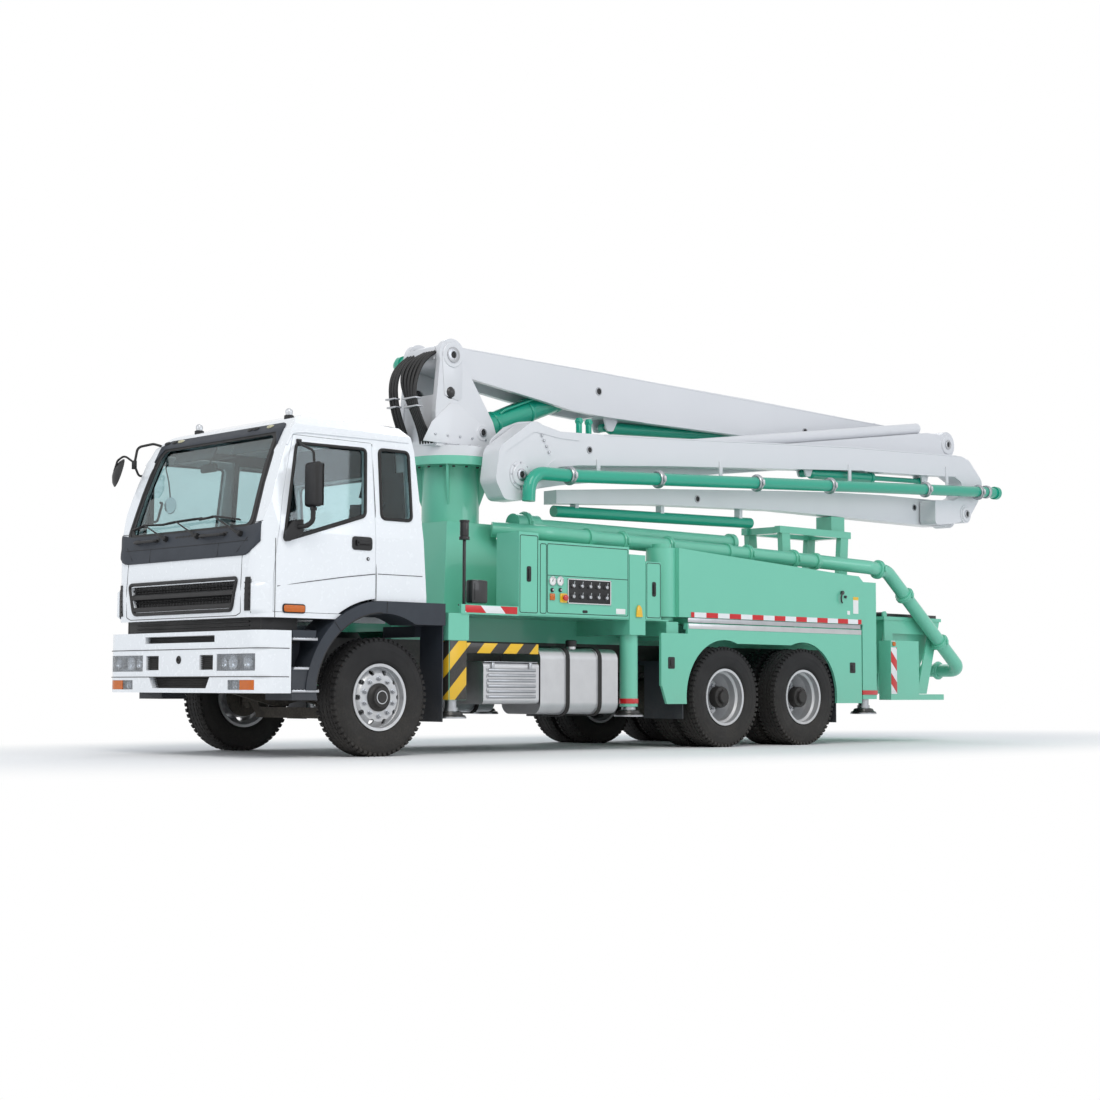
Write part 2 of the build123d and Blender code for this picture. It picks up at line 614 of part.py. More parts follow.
def lamps():
    """Headlamps and fog lamps in the bumper's pockets, and roof lamps."""
    plan = Rectangle(2 * BUMPER_HALF - 12, 330)
    plan = fillet([v for v in plan.vertices() if v.Y < 0], 146)
    form = Pos(0, y_at(330 / 2 + 6), 500) * extrude(plan, 600, dir=UP)
    core = Rectangle(2 * BUMPER_HALF - 112, 330)
    core = fillet([v for v in core.vertices() if v.Y < 0], 110)
    form -= Pos(0, y_at(330 / 2 + 69), 500) * extrude(core, 600, dir=UP)
    one = form & block((LAMP_X[0] + FIT, LAMP_X[1] - FIT), (-20, 200), (750 + FIT, 896 - FIT))
    two = form & block((FOG_X[0] + FIT, FOG_X[1] - FIT), (-20, 200), (587 + FIT, 672 - FIT))
    roof = Pos(720, y_at(640), CAB_ROOF - 52) * Cylinder(42, 40)
    roof += Pos(720, y_at(640), CAB_ROOF - 22) * Sphere(34)
    return both(one) + both(two) + both(roof - cab_form(-FIT))


def fenders():
    """Front arches over the wheels, steps ahead of them, mud flaps behind all wheels."""
    x = (870, BODY_HALF + 12)
    ring = bar_x(ARCH_R, x, FRONT_AXLE, HUB_Z) - bar_x(ARCH_R - ARCH_T, (500, 1500), FRONT_AXLE, HUB_Z)
    ring = ring & block((500, 1500), (380, FRONT_AXLE), (HUB_Z + 60, 1500))
    top = block(x, (FRONT_AXLE, 2050), (HUB_Z + ARCH_R - 200, HUB_Z + ARCH_R))
    top -= bar_x(ARCH_R - ARCH_T, (500, 1500), FRONT_AXLE, HUB_Z)
    arch = ring + top
    flap = block((880, 1200), (FRONT_AXLE + ARCH_R - 155, FRONT_AXLE + ARCH_R - 143), (300, 1250))
    step = side_plate([(350, 500), (620, 500), (560, 760), (600, 1100), (350, 1100)], (830, BODY_HALF))
    step -= block((1000, 1300), (340, 640), (760, 1010))
    rear = REAR_AXLES[1] + TYRE_R + 90
    flap_x = (640, BODY_HALF - 35)
    rear_flap = block(flap_x, (rear, rear + 12), (240, 900))
    mid_flap = block(flap_x, (REAR_AXLES[0] - TYRE_R - 100, REAR_AXLES[0] - TYRE_R - 88), (300, 900))
    stay = block((RAIL_HALF + FIT, 900), (rear, rear + 40), (860, 900))
    mid_stay = block((RAIL_HALF + FIT, 900), (REAR_AXLES[0] - TYRE_R - 100, REAR_AXLES[0] - TYRE_R - 60), (860, 900))
    bracket = block((RAIL_HALF + FIT, 900), (1960, 2040), (1080, 1180))
    front_stay = block((RAIL_HALF + FIT, 900), (440, 520), (860, 960))
    return both(fuse(arch, flap, bracket)) + both(step + front_stay) + both(rear_flap + stay) + both(mid_flap + mid_stay)


# ---- tanks and body -----------------------------------------------------------------
def tanks():
    """Fuel tank and ribbed battery box on each side."""
    size_z = (361, 1000)
    x = (640, BODY_HALF - 25)
    tank = block(x, (3280, 4340), size_z)
    tank = fillet(tank.edges().filter_by(Axis.Y), 110)
    for station in (3640, 4080):
        strap = block((x[0] - 6, x[1] + 6), (station - 25, station + 25), (size_z[0] - 6, size_z[1] + 6))
        tank += fillet(strap.edges().filter_by(Axis.Y), 114)
        tank += block((RAIL_HALF + FIT, 700), (station - 30, station + 30), (560, 860))
    tank += bar_z(48, x[1] - 135, 3820, (990, 1045))
    chest = block(x, (2550, 3260), (460, 853))
    chest = fillet(chest.edges().filter_by(Axis.Y), 40)
    for n in range(5):
        chest += block((x[1] - 45, x[1] + 7), (2590, 3220), (520 + 62 * n, 548 + 62 * n))
    chest += block((RAIL_HALF + FIT, 700), (2700, 2780), (795, 835))
    return both(tank + chest)


def jack_housings():
    """Square and round housings that carry the fixed jacks' feet."""
    head = block((JACK_X - 130, BODY_HALF - 10), (FRONT_JACK - 125, FRONT_JACK + 125), (1050, SUB_TOP))
    front = head + block((JACK_X - 105, JACK_X + 105), (FRONT_JACK - 105, FRONT_JACK + 105), (500, 1060))
    mid = bar_z(92, JACK_X, MID_JACK, (430, 1400)) + block((JACK_X - 110, BODY_HALF), (MID_JACK - 115, MID_JACK + 115), (1150, 1960))
    return both(front) + both(mid)


def deck():
    """Subframe, outrigger beams, slewing pedestal and boom trestle."""
    low = RAIL_Z[1] + FIT
    beams = both(block((RAIL_HALF - 90, RAIL_HALF), (2060, 9250), (low, SUB_TOP)))
    whole = beams
    for station in (FRONT_JACK, MID_JACK, 5180, 6400, 8150):
        whole += block((-DECK_HALF, DECK_HALF), (station - 90, station + 90), (SUB_TOP - 150, SUB_TOP))
    front_plate = block((-BODY_HALF + 10, BODY_HALF - 10), (2250, 5070), (SUB_TOP, SUB_TOP + 12))
    edge = both(block((BODY_HALF - 30, BODY_HALF), (2250, 2970), (SUB_TOP - 5, SUB_TOP + 85)))
    rear_plate = block((-700, 700), (5070, 8950), (SUB_TOP, SUB_TOP + 12))
    whole = fuse(whole, front_plate, edge, rear_plate, jack_housings())
    # pedestal: a box that narrows to a round column under the slewing ring
    foot = Pos(0, y_at(SLEW), SUB_TOP) * Rectangle(1000, 1000)
    neck = Pos(0, y_at(SLEW), 2250) * Rectangle(600, 600)
    whole += loft([foot, neck])
    whole += bar_z(290, 0, SLEW, (2240, RING_Z - 60))
    whole += bar_z(RING_R, 0, SLEW, (RING_Z - 85, RING_Z))
    for turn in (0, 90, 180, 270):
        gusset = Polygon((280, 2400), (280, RING_Z - 80), (RING_R - 20, RING_Z - 80), align=None)
        rib = Pos(0, y_at(SLEW), 0) * Rot(0, 0, turn + 45) * (Pos(0, 12, 0) * extrude(Plane.XZ * gusset, 24, dir=AHEAD))
        whole += rib
    # trestle: four raked legs, side beams and a pad under the folded boom
    pad = 2520
    left, right = 60, 560
    for x in (left, right):
        whole += side_plate([(7700, SUB_TOP), (7860, SUB_TOP), (7780, pad - 60), (7640, pad - 60)], (x - 35, x + 35))
        whole += side_plate([(8640, SUB_TOP), (8800, SUB_TOP), (8880, pad - 60), (8740, pad - 60)], (x - 35, x + 35))
        whole += side_plate([(7940, pad - 60), (8030, pad - 60), (8740, SUB_TOP + 300), (8740, SUB_TOP + 400)], (x - 20, x + 20))
        whole += block((x - 40, x + 40), (7600, 8920), (pad - 120, pad - 40))
    for station in (7700, 8810):
        whole += block((left, right), (station - 60, station + 60), (pad - 120, pad - 45))
    whole += block((BOOM_2_X[0] - 20, BOOM_2_X[1] + 20), (8650, 8900), (pad - 50, BOOM_4_UNDER - CLEAR))
    for x in (-PUMP_X, PUMP_X):
        whole -= rod_between(PUMP_R + 10, *PUMP_LINE, x)
    for station in (FRONT_JACK, MID_JACK):
        whole -= both(bar_z(60 + FIT, JACK_X, station, (400, 1240)))
    return whole


def body_sides():
    """Control cabinet, columns, side boxes and skirts, on both sides."""
    x = (760, BODY_HALF)
    base = SUB_TOP + 12 + FIT
    column = block((900, BODY_HALF), (2972, 3225), (base, 2100))
    cabinet = block(x, (3225, 4475), (base, 2030))
    box_3 = block(x, (MID_JACK + 122, 4945), (base, 1900))
    left = fuse(column, cabinet, box_3)
    # skirts hang from the side rail, cut round the tyres
    reach = (BODY_HALF - 120, BODY_HALF + 180)
    skirt = block((BODY_HALF - 30, BODY_HALF), (4950, 8290), (455, 1290))
    for station in REAR_AXLES:
        skirt -= bar_x(TYRE_R + 75, reach, station, HUB_Z)
    skirt -= block(reach, (REAR_AXLES[0], REAR_AXLES[1]), (400, HUB_Z + TYRE_R + 40))
    skirt -= side_plate([(4900, 400), (5060, 400), (4960, 640), (4900, 640)], reach)
    skirt -= block(reach, (4900, 5350), (1180, 1300))
    rail = block((DECK_HALF, BODY_HALF - 8), (5350, 8290), (1225, 1290))
    brackets = [block((RAIL_HALF, DECK_HALF + 5), (s - 40, s + 40), (1228, 1288)) for s in (6650, 7850)]
    front_bracket = block((RAIL_HALF, BODY_HALF - 20), (5290, 5350), (1110, 1148))
    # end box beside the hopper, with the guard bar under it
    end_x = (LINE_X + 95, BODY_HALF - 5)
    end = block(end_x, (8850, 9400), (555, 1180)) + block(end_x, (8850, 9900), (490, 556))
    end += block((RAIL_HALF, end_x[0] + 10), (8860, 8940), (800, 880))
    return both(left) + both(fuse(skirt, rail, front_bracket, *brackets)) + both(end)


def outrigger_arm(side):
    """The rear outrigger's swinging arm, folded along the truck, with its jack's housing."""
    x, station = ARM_PIVOT
    low = SUB_TOP + 50
    outline = [
        (station + 40, low), (8330, low), (8330, 1840), (8250, 1900), (8000, 1910), (5600, 2040), (station + 40, 2064),
    ]
    arm = side_plate(outline, (870, BODY_HALF))
    arm += bar_z(165, x, station, (low, 2064))
    housing = block((JACK_X - 110, JACK_X + 110), (REAR_JACK - 150, REAR_JACK + 110), (500, 1840))
    housing = block((JACK_X - 110, JACK_X + 110), (8330 - 10, REAR_JACK + 110), (low, 1840)) + housing
    whole = arm + housing
    whole -= bar_z(60 + FIT, JACK_X, REAR_JACK, (440, 1400))
    whole -= bar_z(60 + FIT, x, station, (low - 50, 2100))
    return whole if side > 0 else mirror(whole, Plane.YZ)


def arm_pins():
    """Pivot pins of the swinging arms, in brackets on the deck."""
    x, station = ARM_PIVOT
    pin = bar_z(60, x, station, (SUB_TOP + 12, 2110))
    collar = bar_z(120, x, station, (SUB_TOP + 12 + FIT, SUB_TOP + 50 - CLEAR))
    cap = bar_z(100, x, station, (2064 + CLEAR, 2110))
    foot = block((640, x + 60), (station - 60, station + 60), (SUB_TOP + 12 + FIT, SUB_TOP + 30))
    return both(fuse(pin, collar, cap, foot))


def foot(side, station, housing_low):
    """A jack's rod with a flared foot."""
    x = side * JACK_X
    stem = bar_z(60, x, station, (FOOT_Z + 60, 1200))
    bell = Pos(x, y_at(station), 0) * revolve(
        Plane.XZ * Polygon(
            (0, FOOT_Z), (150, FOOT_Z), (150, FOOT_Z + 14), (105, FOOT_Z + 24), (72, FOOT_Z + 70),
            (72, min(FOOT_Z + 100, housing_low - CLEAR)), (0, min(FOOT_Z + 100, housing_low - CLEAR)), align=None),
        Axis.Z)
    return stem + bell


# ---- pump, hopper and concrete line -------------------------------------------------
def trough(inset, top):
    """The hopper's form, drawn in by inset: wide at the mouth, narrow at the bed."""
    middle, depth = y_at(sum(HOPPER) / 2), HOPPER[1] - HOPPER[0]
    mouth = Pos(0, middle, top) * Rectangle(2 * (HOPPER_HALF - inset), depth - 2 * inset)
    bed = Pos(0, middle, HOPPER_Z[0] + inset) * Rectangle(1100 - 2 * inset, depth * 0.62 - 2 * inset)
    return loft([bed, mouth])


def hopper():
    """An open trough with sloping walls, lip, valve housing, outlet and grate hinges."""
    wall = 14
    low, top = HOPPER_Z
    mouth = (HOPPER[0] + wall, HOPPER[1] - wall)
    half = HOPPER_HALF
    lip = block((-half - 20, half + 20), (HOPPER[0] - 40, HOPPER[1] + 40), (top - 40, top))
    lip -= block((wall - half, half - wall), mouth, (top - 60, top + 10))
    cheek = side_plate([
        (HOPPER[0] - 20, 700), (HOPPER[0] + 420, 560), (HOPPER[1] - 260, 560), (HOPPER[1] + 30, top),
        (HOPPER[0] - 20, top)], (half - 10, half + 8))
    cheek -= side_plate([
        (HOPPER[0] + 140, 760), (HOPPER[1] - 420, 660), (HOPPER[1] - 220, 1280), (HOPPER[0] + 140, 1280)],
        (half - 20, half + 20))
    ends = both(block((RAIL_HALF - 80, RAIL_HALF - 14), (RAIL_END - 300, HOPPER[0] + 200), (830, 1000)))
    ends += block((14 - RAIL_HALF, RAIL_HALF - 14), (RAIL_END - 60, RAIL_END), (820, 900))
    stay = both(block((540, half), (HOPPER[0] + 420, HOPPER[0] + 500), (low + 2, low + 60)))
    ends += block((-340, 340), (HOPPER[0], HOPPER[0] + 200), (700, 1230))
    outlet = bar_y(150, 0, (HOPPER[1] - 300, HOPPER[1] + 100), OUTLET_Z)
    outlet += bar_y(205, 0, (HOPPER[1] - 300, HOPPER[1] - 20), OUTLET_Z)
    ear = block((half - 30, half - 8), (GRATE_HINGE[0] - 35, GRATE_HINGE[0] + 35), (top - 10, GRATE_HINGE[1]))
    ear += bar_x(35, (half - 30, half - 8), *GRATE_HINGE) + bar_x(12, (half - 90, half - 8), *GRATE_HINGE)
    whole = fuse(trough(0, top), lip, both(cheek), ends, stay, outlet, both(ear))
    whole -= trough(wall, top + 1)
    return whole - bar_y(92, 0, (HOPPER[0], HOPPER[1] + 200), OUTLET_Z)


def hopper_grate():
    """The grate over the hopper's mouth, hinged at its front edge."""
    z = HOPPER_Z[1] + FIT
    low, high = GRATE_HINGE[0], HOPPER[1] + 20
    half = HOPPER_HALF - 40
    frame = block((-half, half), (low, high), (z, z + 40))
    frame -= block((35 - half, half - 35), (low + 35, high - 35), (z - 5, z + 45))
    bars = 17
    for n in range(1, bars):
        x = -half + 2 * half * n / bars
        frame += block((x - 6, x + 6), (low + 30, high - 30), (z, z + 36))
    for share in (1, 2):
        station = low + (high - low) * share / 3
        frame += block((-half + 30, half - 30), (station - 6, station + 6), (z + 4, z + 30))
    frame += bar_x(26, (-half, half), *GRATE_HINGE)
    return frame - bar_x(12 + FIT, (-2000, 2000), *GRATE_HINGE)


def pump_unit():
    """Two delivery cylinders, their drive cylinders and the water box between the frames."""
    base = SUB_TOP + 12 + FIT
    axis_z = PUMP_LINE[0][1]
    pieces = block((-330, 330), (6560, 6900), (base, SUB_TOP + 480))
    for x in (-PUMP_X, PUMP_X):
        pieces += rod_between(PUMP_R, *PUMP_LINE, x)
        pieces += bar_y(70, x, (5200, 6580), axis_z)
        pieces += bar_y(100, x, (5150, 5260), axis_z)
    pieces += block((-290, 290), (5180, 5240), (base, axis_z + 60))
    pieces -= block((-700, 700), (HOPPER[0], HOPPER[0] + 400), (500, 1500))
    tank = block((-700, -380), (5250, 6400), (base, 1850))
    return pieces + tank


def deck_lines():
    """The concrete line from the hopper's outlet to the column, and the jack tube beside it."""
    start = HOPPER[1] + 100 + FIT
    turn = start + 210
    line = pipe(80, [
        (0, start, OUTLET_Z), (0, turn, OUTLET_Z), (LINE_X, turn, OUTLET_Z), (LINE_X, 9150, 2005),
        (LINE_X, 8800, 2040), (DECK_LINE_X, 8100, 2090), (DECK_LINE_X, 3800, 2160), (400, SLEW + 200, 2190),
    ], [150, 150, 250, 130, 200, 300])
    for station in (8100, 6560, 4400):
        z = 2090 + (8100 - station) * 70 / 4300
        line += bar_y(98, DECK_LINE_X, (station - 30, station + 30), z)
    thick = bar_y(105, 480, (3560, 3880), 2255) + bar_y(80, 480, (3880, 6900), 2245)
    thick += bar_y(104, 480, (6840, 6900), 2245)
    for station in (4300, 6700):
        thick += block((450, 510), (station - 40, station + 40), (SUB_TOP + 12 + FIT, 2200))
        thick += block((450, DECK_LINE_X), (station - 25, station + 25), (1990, 2020))
        thick += block((DECK_LINE_X - 25, DECK_LINE_X + 25), (station - 25, station + 25), (1990, 2075))
    return line + thick


# ---- turret and boom ----------------------------------------------------------------
def knob(radius, pin, x):
    return bar_x(radius, x, *pin)


def turret():
    """Slewing table with two ears that carry the boom's root pin and the ram's pin."""
    table = bar_z(RING_R, 0, SLEW, (RING_Z + FIT, TABLE_TOP))
    outline = [
        (SLEW - 420, TABLE_TOP - 10), (SLEW + 430, TABLE_TOP - 10), (RAM_PIN[0] + 190, 3180), (RAM_PIN[0] + 150, 3290),
        (ROOT_PIN[0] + 158, ROOT_PIN[1] - 60), (ROOT_PIN[0] - 155, ROOT_PIN[1] - 60), (SLEW - 440, 3330),
    ]
    ear = side_plate(outline, (EAR_IN, EAR_IN + EAR_T)) + knob(165, ROOT_PIN, (EAR_IN, EAR_IN + EAR_T))
    ear -= knob(70, (2900, 3540), (EAR_IN - 5, EAR_IN + EAR_T + 5))
    ear += knob(75, RAM_PIN, (EAR_IN - 20, EAR_IN + EAR_T))
    table += both(ear)
    front = side_plate([(SLEW - 425, TABLE_TOP - 10), (SLEW - 380, TABLE_TOP - 10), (SLEW - 390, 3500), (SLEW - 425, 3500)], (-EAR_IN - 5, EAR_IN + 5))
    table += front
    table += knob(PIN_R, ROOT_PIN, (-EAR_IN - EAR_T - 10, EAR_IN + EAR_T + 10))
    table += knob(PIN_R - 5, RAM_PIN, (-EAR_IN - EAR_T, EAR_IN + EAR_T))
    return table


def turret_line():
    """The line up the turret's far side, to the swivel on the root pin's axis."""
    x = -EAR_IN - EAR_T - LINE_R - 30
    line = pipe(LINE_R, [
        (x, SLEW - 20, TABLE_TOP), (x, SLEW - 20, 3380), (x, ROOT_PIN[0], 3640), (x, *ROOT_PIN), (-SWIVEL_X, *ROOT_PIN),
    ], [120, 120, 110])
    return line + bar_x(LINE_R + 16, (-SWIVEL_X, -SWIVEL_X + 30), *ROOT_PIN)


def boom_1():
    """Box beam over the fold, with an open pocket for each cylinder in its belly and an eye at each end."""
    end = PIN_12[0]
    outline = [
        (ROOT_PIN[0] - 60, 4020), (5040, 3997), (7510, 3972), (end - 210, 3905), (end + 90, 3860), (end + 170, 3735),
        (end + 70, 3610), (end - 650, 3600), (8420, 3545), (5690, 3525), (5070, 3527), (4636, 3545), (4227, 3600),
        (3270, 3712), (ROOT_PIN[0] - 60, 3800),
    ]
    rounds = {4: 60, 5: 60, 6: 60, 12: 400}
    beam = side_plate(outline, (-BOOM_1_HALF, BOOM_1_HALF), rounds) + knob(125, ROOT_PIN, (-BOOM_1_HALF, BOOM_1_HALF))
    half = POCKET_HALF
    beam -= side_plate([(3150, 3300), (5080, 3300), (5080, POCKET_TOP - 40), (5040, POCKET_TOP), (3150, POCKET_TOP)], (-half, half))
    beam += both(bar_x(62, (88, half + 5), *RAM_EYE))
    # the fold cylinder's channel, lugs at its front pin and its rear pin across the channel
    front, rear = FOLD_RAM_1
    half = FOLD_RAM_R + 20
    beam -= side_plate([(5250, 3400), (rear[0] + 120, 3400), (rear[0] + 120, 3760), (5600, 3640), (5250, 3600)], (-half, half))
    lug = side_plate([
        (front[0] - 90, 3530), (front[0] - 45, front[1] - 45), (front[0] + 45, front[1] - 45), (front[0] + 120, 3530),
        (front[0] + 120, 3620), (front[0] - 90, 3620)], (half, half + 22), {1: 30, 2: 30})
    beam += both(lug) + bar_x(24, (-half - 22, half + 22), *front) + bar_x(24, (-half - 5, half + 5), *rear)
    beam += knob(150, PIN_12, (BOOM_1_HALF - 20, BOOM_2_X[0] - 8))
    beam += knob(PIN_R, PIN_12, (0, BOOM_2_X[1] + 8))
    return beam - knob(PIN_R + FIT, ROOT_PIN, (-400, 400))


def fold_ram_1():
    """The cylinder in boom 1's belly that works the rear fold, between its two pins."""
    front, rear = FOLD_RAM_1
    length = hypot(rear[0] - front[0], rear[1] - front[1])
    whole = rod_between(FOLD_RAM_R, along(front, rear, 110), along(front, rear, length - 1250))
    whole += rod_between(FOLD_RAM_R + 9, along(front, rear, length - 1310), along(front, rear, length - 1250))
    whole += rod_between(34, along(front, rear, length - 1300), rear)
    whole += loft_between(front, rear, 20, 112, 30, FOLD_RAM_R)
    whole += knob(48, front, (-34, 34)) + knob(52, rear, (-36, 36))
    return whole - knob(24 + FIT, front, (-80, 80)) - knob(24 + FIT, rear, (-80, 80))


def boom_2():
    """From the far end back to the front, beside boom 1, its front end a cranked plate."""
    wide = BOOM_2_X
    outline = [
        along(PIN_12, PIN_23, -140, -90), along(PIN_12, PIN_23, -140, 90), along(PIN_12, PIN_23, 200, 175),
        along(PIN_12, PIN_23, 6950, 120), along(PIN_12, PIN_23, 6950, -120), along(PIN_12, PIN_23, 400, -170),
    ]
    beam = side_plate(outline, wide) + knob(165, PIN_12, wide)
    head = [
        (3228, 2640), (3243, 3068), (3430, 3215), (3620, 3290), (3880, 3322), (4300, 3150), (4950, 3040), (4950, 2800),
        (4200, 2690), (3500, 2560), (3330, 2560),
    ]
    thick = 24
    beam += side_plate(head, (wide[1] - thick, wide[1]), {1: 120, 3: 300, 4: 160, 5: 300, 10: 60})
    beam += knob(160, PIN_23, (wide[1] - thick - 12, wide[1]))
    beam += knob(PIN_R, PIN_23, (wide[1] - 20, BOOM_3_X[1] + 20))
    return beam - knob(PIN_R + FIT, PIN_12, (0, 1000))


def line_3_z(station):
    """Height of the near side's line at a station."""
    points = LINE_3
    for (s0, z0), (s1, z1) in zip(points, points[1:]):
        if s0 <= station <= s1:
            return z0 + (z1 - z0) * (station - s0) / (s1 - s0)


def line_3_pipe(radius):
    points = [(LINE_3_X, s, z) for s, z in LINE_3]
    return pipe(radius, points, LINE_3_BENDS)


def boom_3():
    """From the front back to the rear on the near side: a rounded head, a tapered beam and an open rear knuckle."""
    end = PIN_34[0]
    outline = [
        (3574, 3267), (3134, 2975), (3085, 2640), (3200, 2457), (3420, 2457), (3680, 2620), (3900, 2830),
        (4228, 2878), (5631, 2987), (8951, 3212), (end - 821, 3265), (end - 255, 3301), (end - 64, 3230),
        (end - 66, 3050), (end - 262, 2985), (end - 640, 2967), (end - 647, 2655), (end - 204, 2700), (end + 88, 2782),
        (end + 290, 3005), (end + 411, 3262), (end + 105, 3520), (end - 57, 3561), (end - 249, 3562), (8720, 3474),
        (5632, 3286), (4477, 3222), (3958, 3199),
    ]
    rounds = {0: 120, 1: 160, 2: 110, 3: 90, 4: 80, 6: 200, 11: 60, 12: 60, 13: 50, 14: 60, 15: 30, 16: 60, 17: 200,
              18: 140, 19: 160, 20: 120, 21: 120, 22: 80, 27: 300}
    beam = side_plate(outline, BOOM_3_X, rounds) + knob(140, PIN_23, (BOOM_3_X[0], BOOM_3_X[1] + 10))
    beam += knob(112, PIN_34, (BOOM_3_X[0], BOOM_3_X[1] + 10))
    # a rim round the head, and lugs that carry the rear fold's cylinder
    rim = side_plate(outline[:8] + [(4228, 3190)] + outline[-1:], (BOOM_3_X[1] - 1, BOOM_3_X[1] + 8), {
        0: 120, 1: 160, 2: 110, 3: 90, 4: 80, 6: 200})
    rim -= side_plate([
        (3598, 3165), (3203, 2925), (3160, 2650), (3235, 2530), (3400, 2530), (3640, 2690), (3860, 2905), (4300, 2960),
        (4300, 3130), (3958, 3130)], (BOOM_3_X[1] - 5, BOOM_3_X[1] + 20), {0: 100, 1: 120, 2: 90, 3: 60, 4: 60, 6: 150})
    beam += rim
    front, rear = FOLD_RAM_3
    middle = sum(BOOM_3_X) / 2
    beam -= side_plate(
        [(front[0] - 120, 3000), (9500, 3000), (9500, 3262), (front[0] + 100, 3240), (front[0] - 120, 3195)],
        (middle - 80, middle + 80))
    half = 44
    for x in ((middle - half - 20, middle - half), (middle + half, middle + half + 20)):
        beam += side_plate([
            (front[0] - 110, 3280), (front[0] - 40, front[1] - 42), (front[0] + 40, front[1] - 42),
            (front[0] + 130, 3280)], x, {1: 30, 2: 30})
        beam += side_plate([
            (rear[0] - 90, 3300), (rear[0] - 42, rear[1] - 42), (rear[0] + 42, rear[1] - 42), (rear[0] + 90, 3300)],
            x, {1: 30, 2: 30})
    beam += bar_x(22, (middle - half - 20, middle + half + 20), *front)
    beam += bar_x(22, (middle - half - 20, middle + half + 20), *rear)
    beam -= knob(PIN_R + FIT, PIN_23, (0, 1000))
    # brackets that carry the line
    for station, top in ((4500, 2960), (6400, 3100), (8700, 3260), (end - 400, 3400)):
        z = line_3_z(station)
        beam += block((BOOM_3_X[1], BOOM_3_X[1] + 14), (station - 25, station + 25), (z - 30, top))
        beam += block((BOOM_3_X[1], LINE_3_X), (station - 20, station + 20), (z - 14, z + 14))
    beam -= line_3_pipe(LINE_R + FIT)
    return beam + knob(PIN_R, PIN_34, (BOOM_2_X[0] - 6, BOOM_3_X[1] + 20))


def fold_ram_3():
    """The cylinder under boom 3 that works the rear knuckle, between its two pins."""
    front, rear = FOLD_RAM_3
    middle = sum(BOOM_3_X) / 2
    length = hypot(rear[0] - front[0], rear[1] - front[1])
    whole = rod_between(60, along(front, rear, 120), along(front, rear, length - 1010), middle)
    whole += rod_between(68, along(front, rear, length - 1060), along(front, rear, length - 1010), middle)
    whole += rod_between(30, along(front, rear, length - 1050), rear, middle)
    whole += loft_between(front, rear, 44, 121, 28, 60, middle)
    whole += knob(46, front, (middle - 34, middle + 34)) + knob(48, rear, (middle - 36, middle + 36))
    gap = (middle - 80, middle + 80)
    return whole - knob(22 + FIT, front, gap) - knob(22 + FIT, rear, gap)


def boom_4():
    """The last section, from the rear pin forward, under boom 2."""
    end = PIN_34[0]
    low = BOOM_4_UNDER
    outline = [
        (4150, 2500), (4150, 2640), (5600, 2760), (7700, 2895), (8819, 2957), (9700, 2990), (end - 300, 3005),
        (end - 60, 2985), (end - 60, 2690), (end - 300, low + 4), (9700, low + 2), (7700, low + 2), (5600, 2590),
    ]
    beam = side_plate(outline, BOOM_2_X) + knob(160, PIN_34, BOOM_2_X)
    middle = sum(BOOM_2_X) / 2
    for station, z in ((4500, 2530), (5800, 2590), (7100, 2650)):
        beam += block((middle - 40, middle + 40), (station - 25, station + 25), (z - 120, z))
    beam -= rod_between(LINE_R - 6 + FIT, *LINE_4, middle)
    return beam - knob(PIN_R + FIT, PIN_34, (0, 1000))


def boom_line_1():
    """From the root pin's swivel along boom 1's far side."""
    x = -BOOM_1_HALF - LINE_R - 100
    out = -SWIVEL_X - 120
    line = pipe(LINE_R, [
        (-SWIVEL_X - FIT, *ROOT_PIN), (out, *ROOT_PIN), (out, ROOT_PIN[0] + 340, ROOT_PIN[1] - 5),
        (x, ROOT_PIN[0] + 900, ROOT_PIN[1] - 16), (x, PIN_12[0] - 160, 3780),
    ], [110, 200, 300])
    return line + bar_x(LINE_R + 16, (-SWIVEL_X - 30, -SWIVEL_X - FIT), *ROOT_PIN)


def boom_line_2():
    x = sum(BOOM_2_X) / 2
    return rod_between(LINE_R, along(PIN_12, PIN_23, 500, -170 - LINE_R), along(PIN_12, PIN_23, 6600, -125 - LINE_R), x)


def boom_line_3():
    collar = bar_y(LINE_R + 16, LINE_3_X, (OVERALL_LENGTH - 60, OVERALL_LENGTH), LINE_3[-1][1])
    return line_3_pipe(LINE_R) + collar


def boom_line_4():
    x = sum(BOOM_2_X) / 2
    return rod_between(LINE_R - 6, *LINE_4, x)


def lift_barrel():
    reach = hypot(RAM_EYE[0] - RAM_PIN[0], RAM_EYE[1] - RAM_PIN[1])
    end = along(RAM_PIN, RAM_EYE, reach - 300)
    whole = rod_between(LIFT_R - 6, along(RAM_PIN, RAM_EYE, 70), end) + knob(95, RAM_PIN, (-90, 90))
    whole += rod_between(LIFT_R, along(RAM_PIN, RAM_EYE, reach - 370), end)
    whole -= rod_between(ROD_R + FIT, along(RAM_PIN, RAM_EYE, 300), along(RAM_PIN, RAM_EYE, reach))
    return whole - knob(PIN_R - 5 + FIT, RAM_PIN, (-200, 200))


def lift_rod():
    whole = rod_between(ROD_R, along(RAM_PIN, RAM_EYE, 330), RAM_EYE)
    return whole + knob(84, RAM_EYE, (-80, 80)) - knob(40, RAM_EYE, (-100, 100))


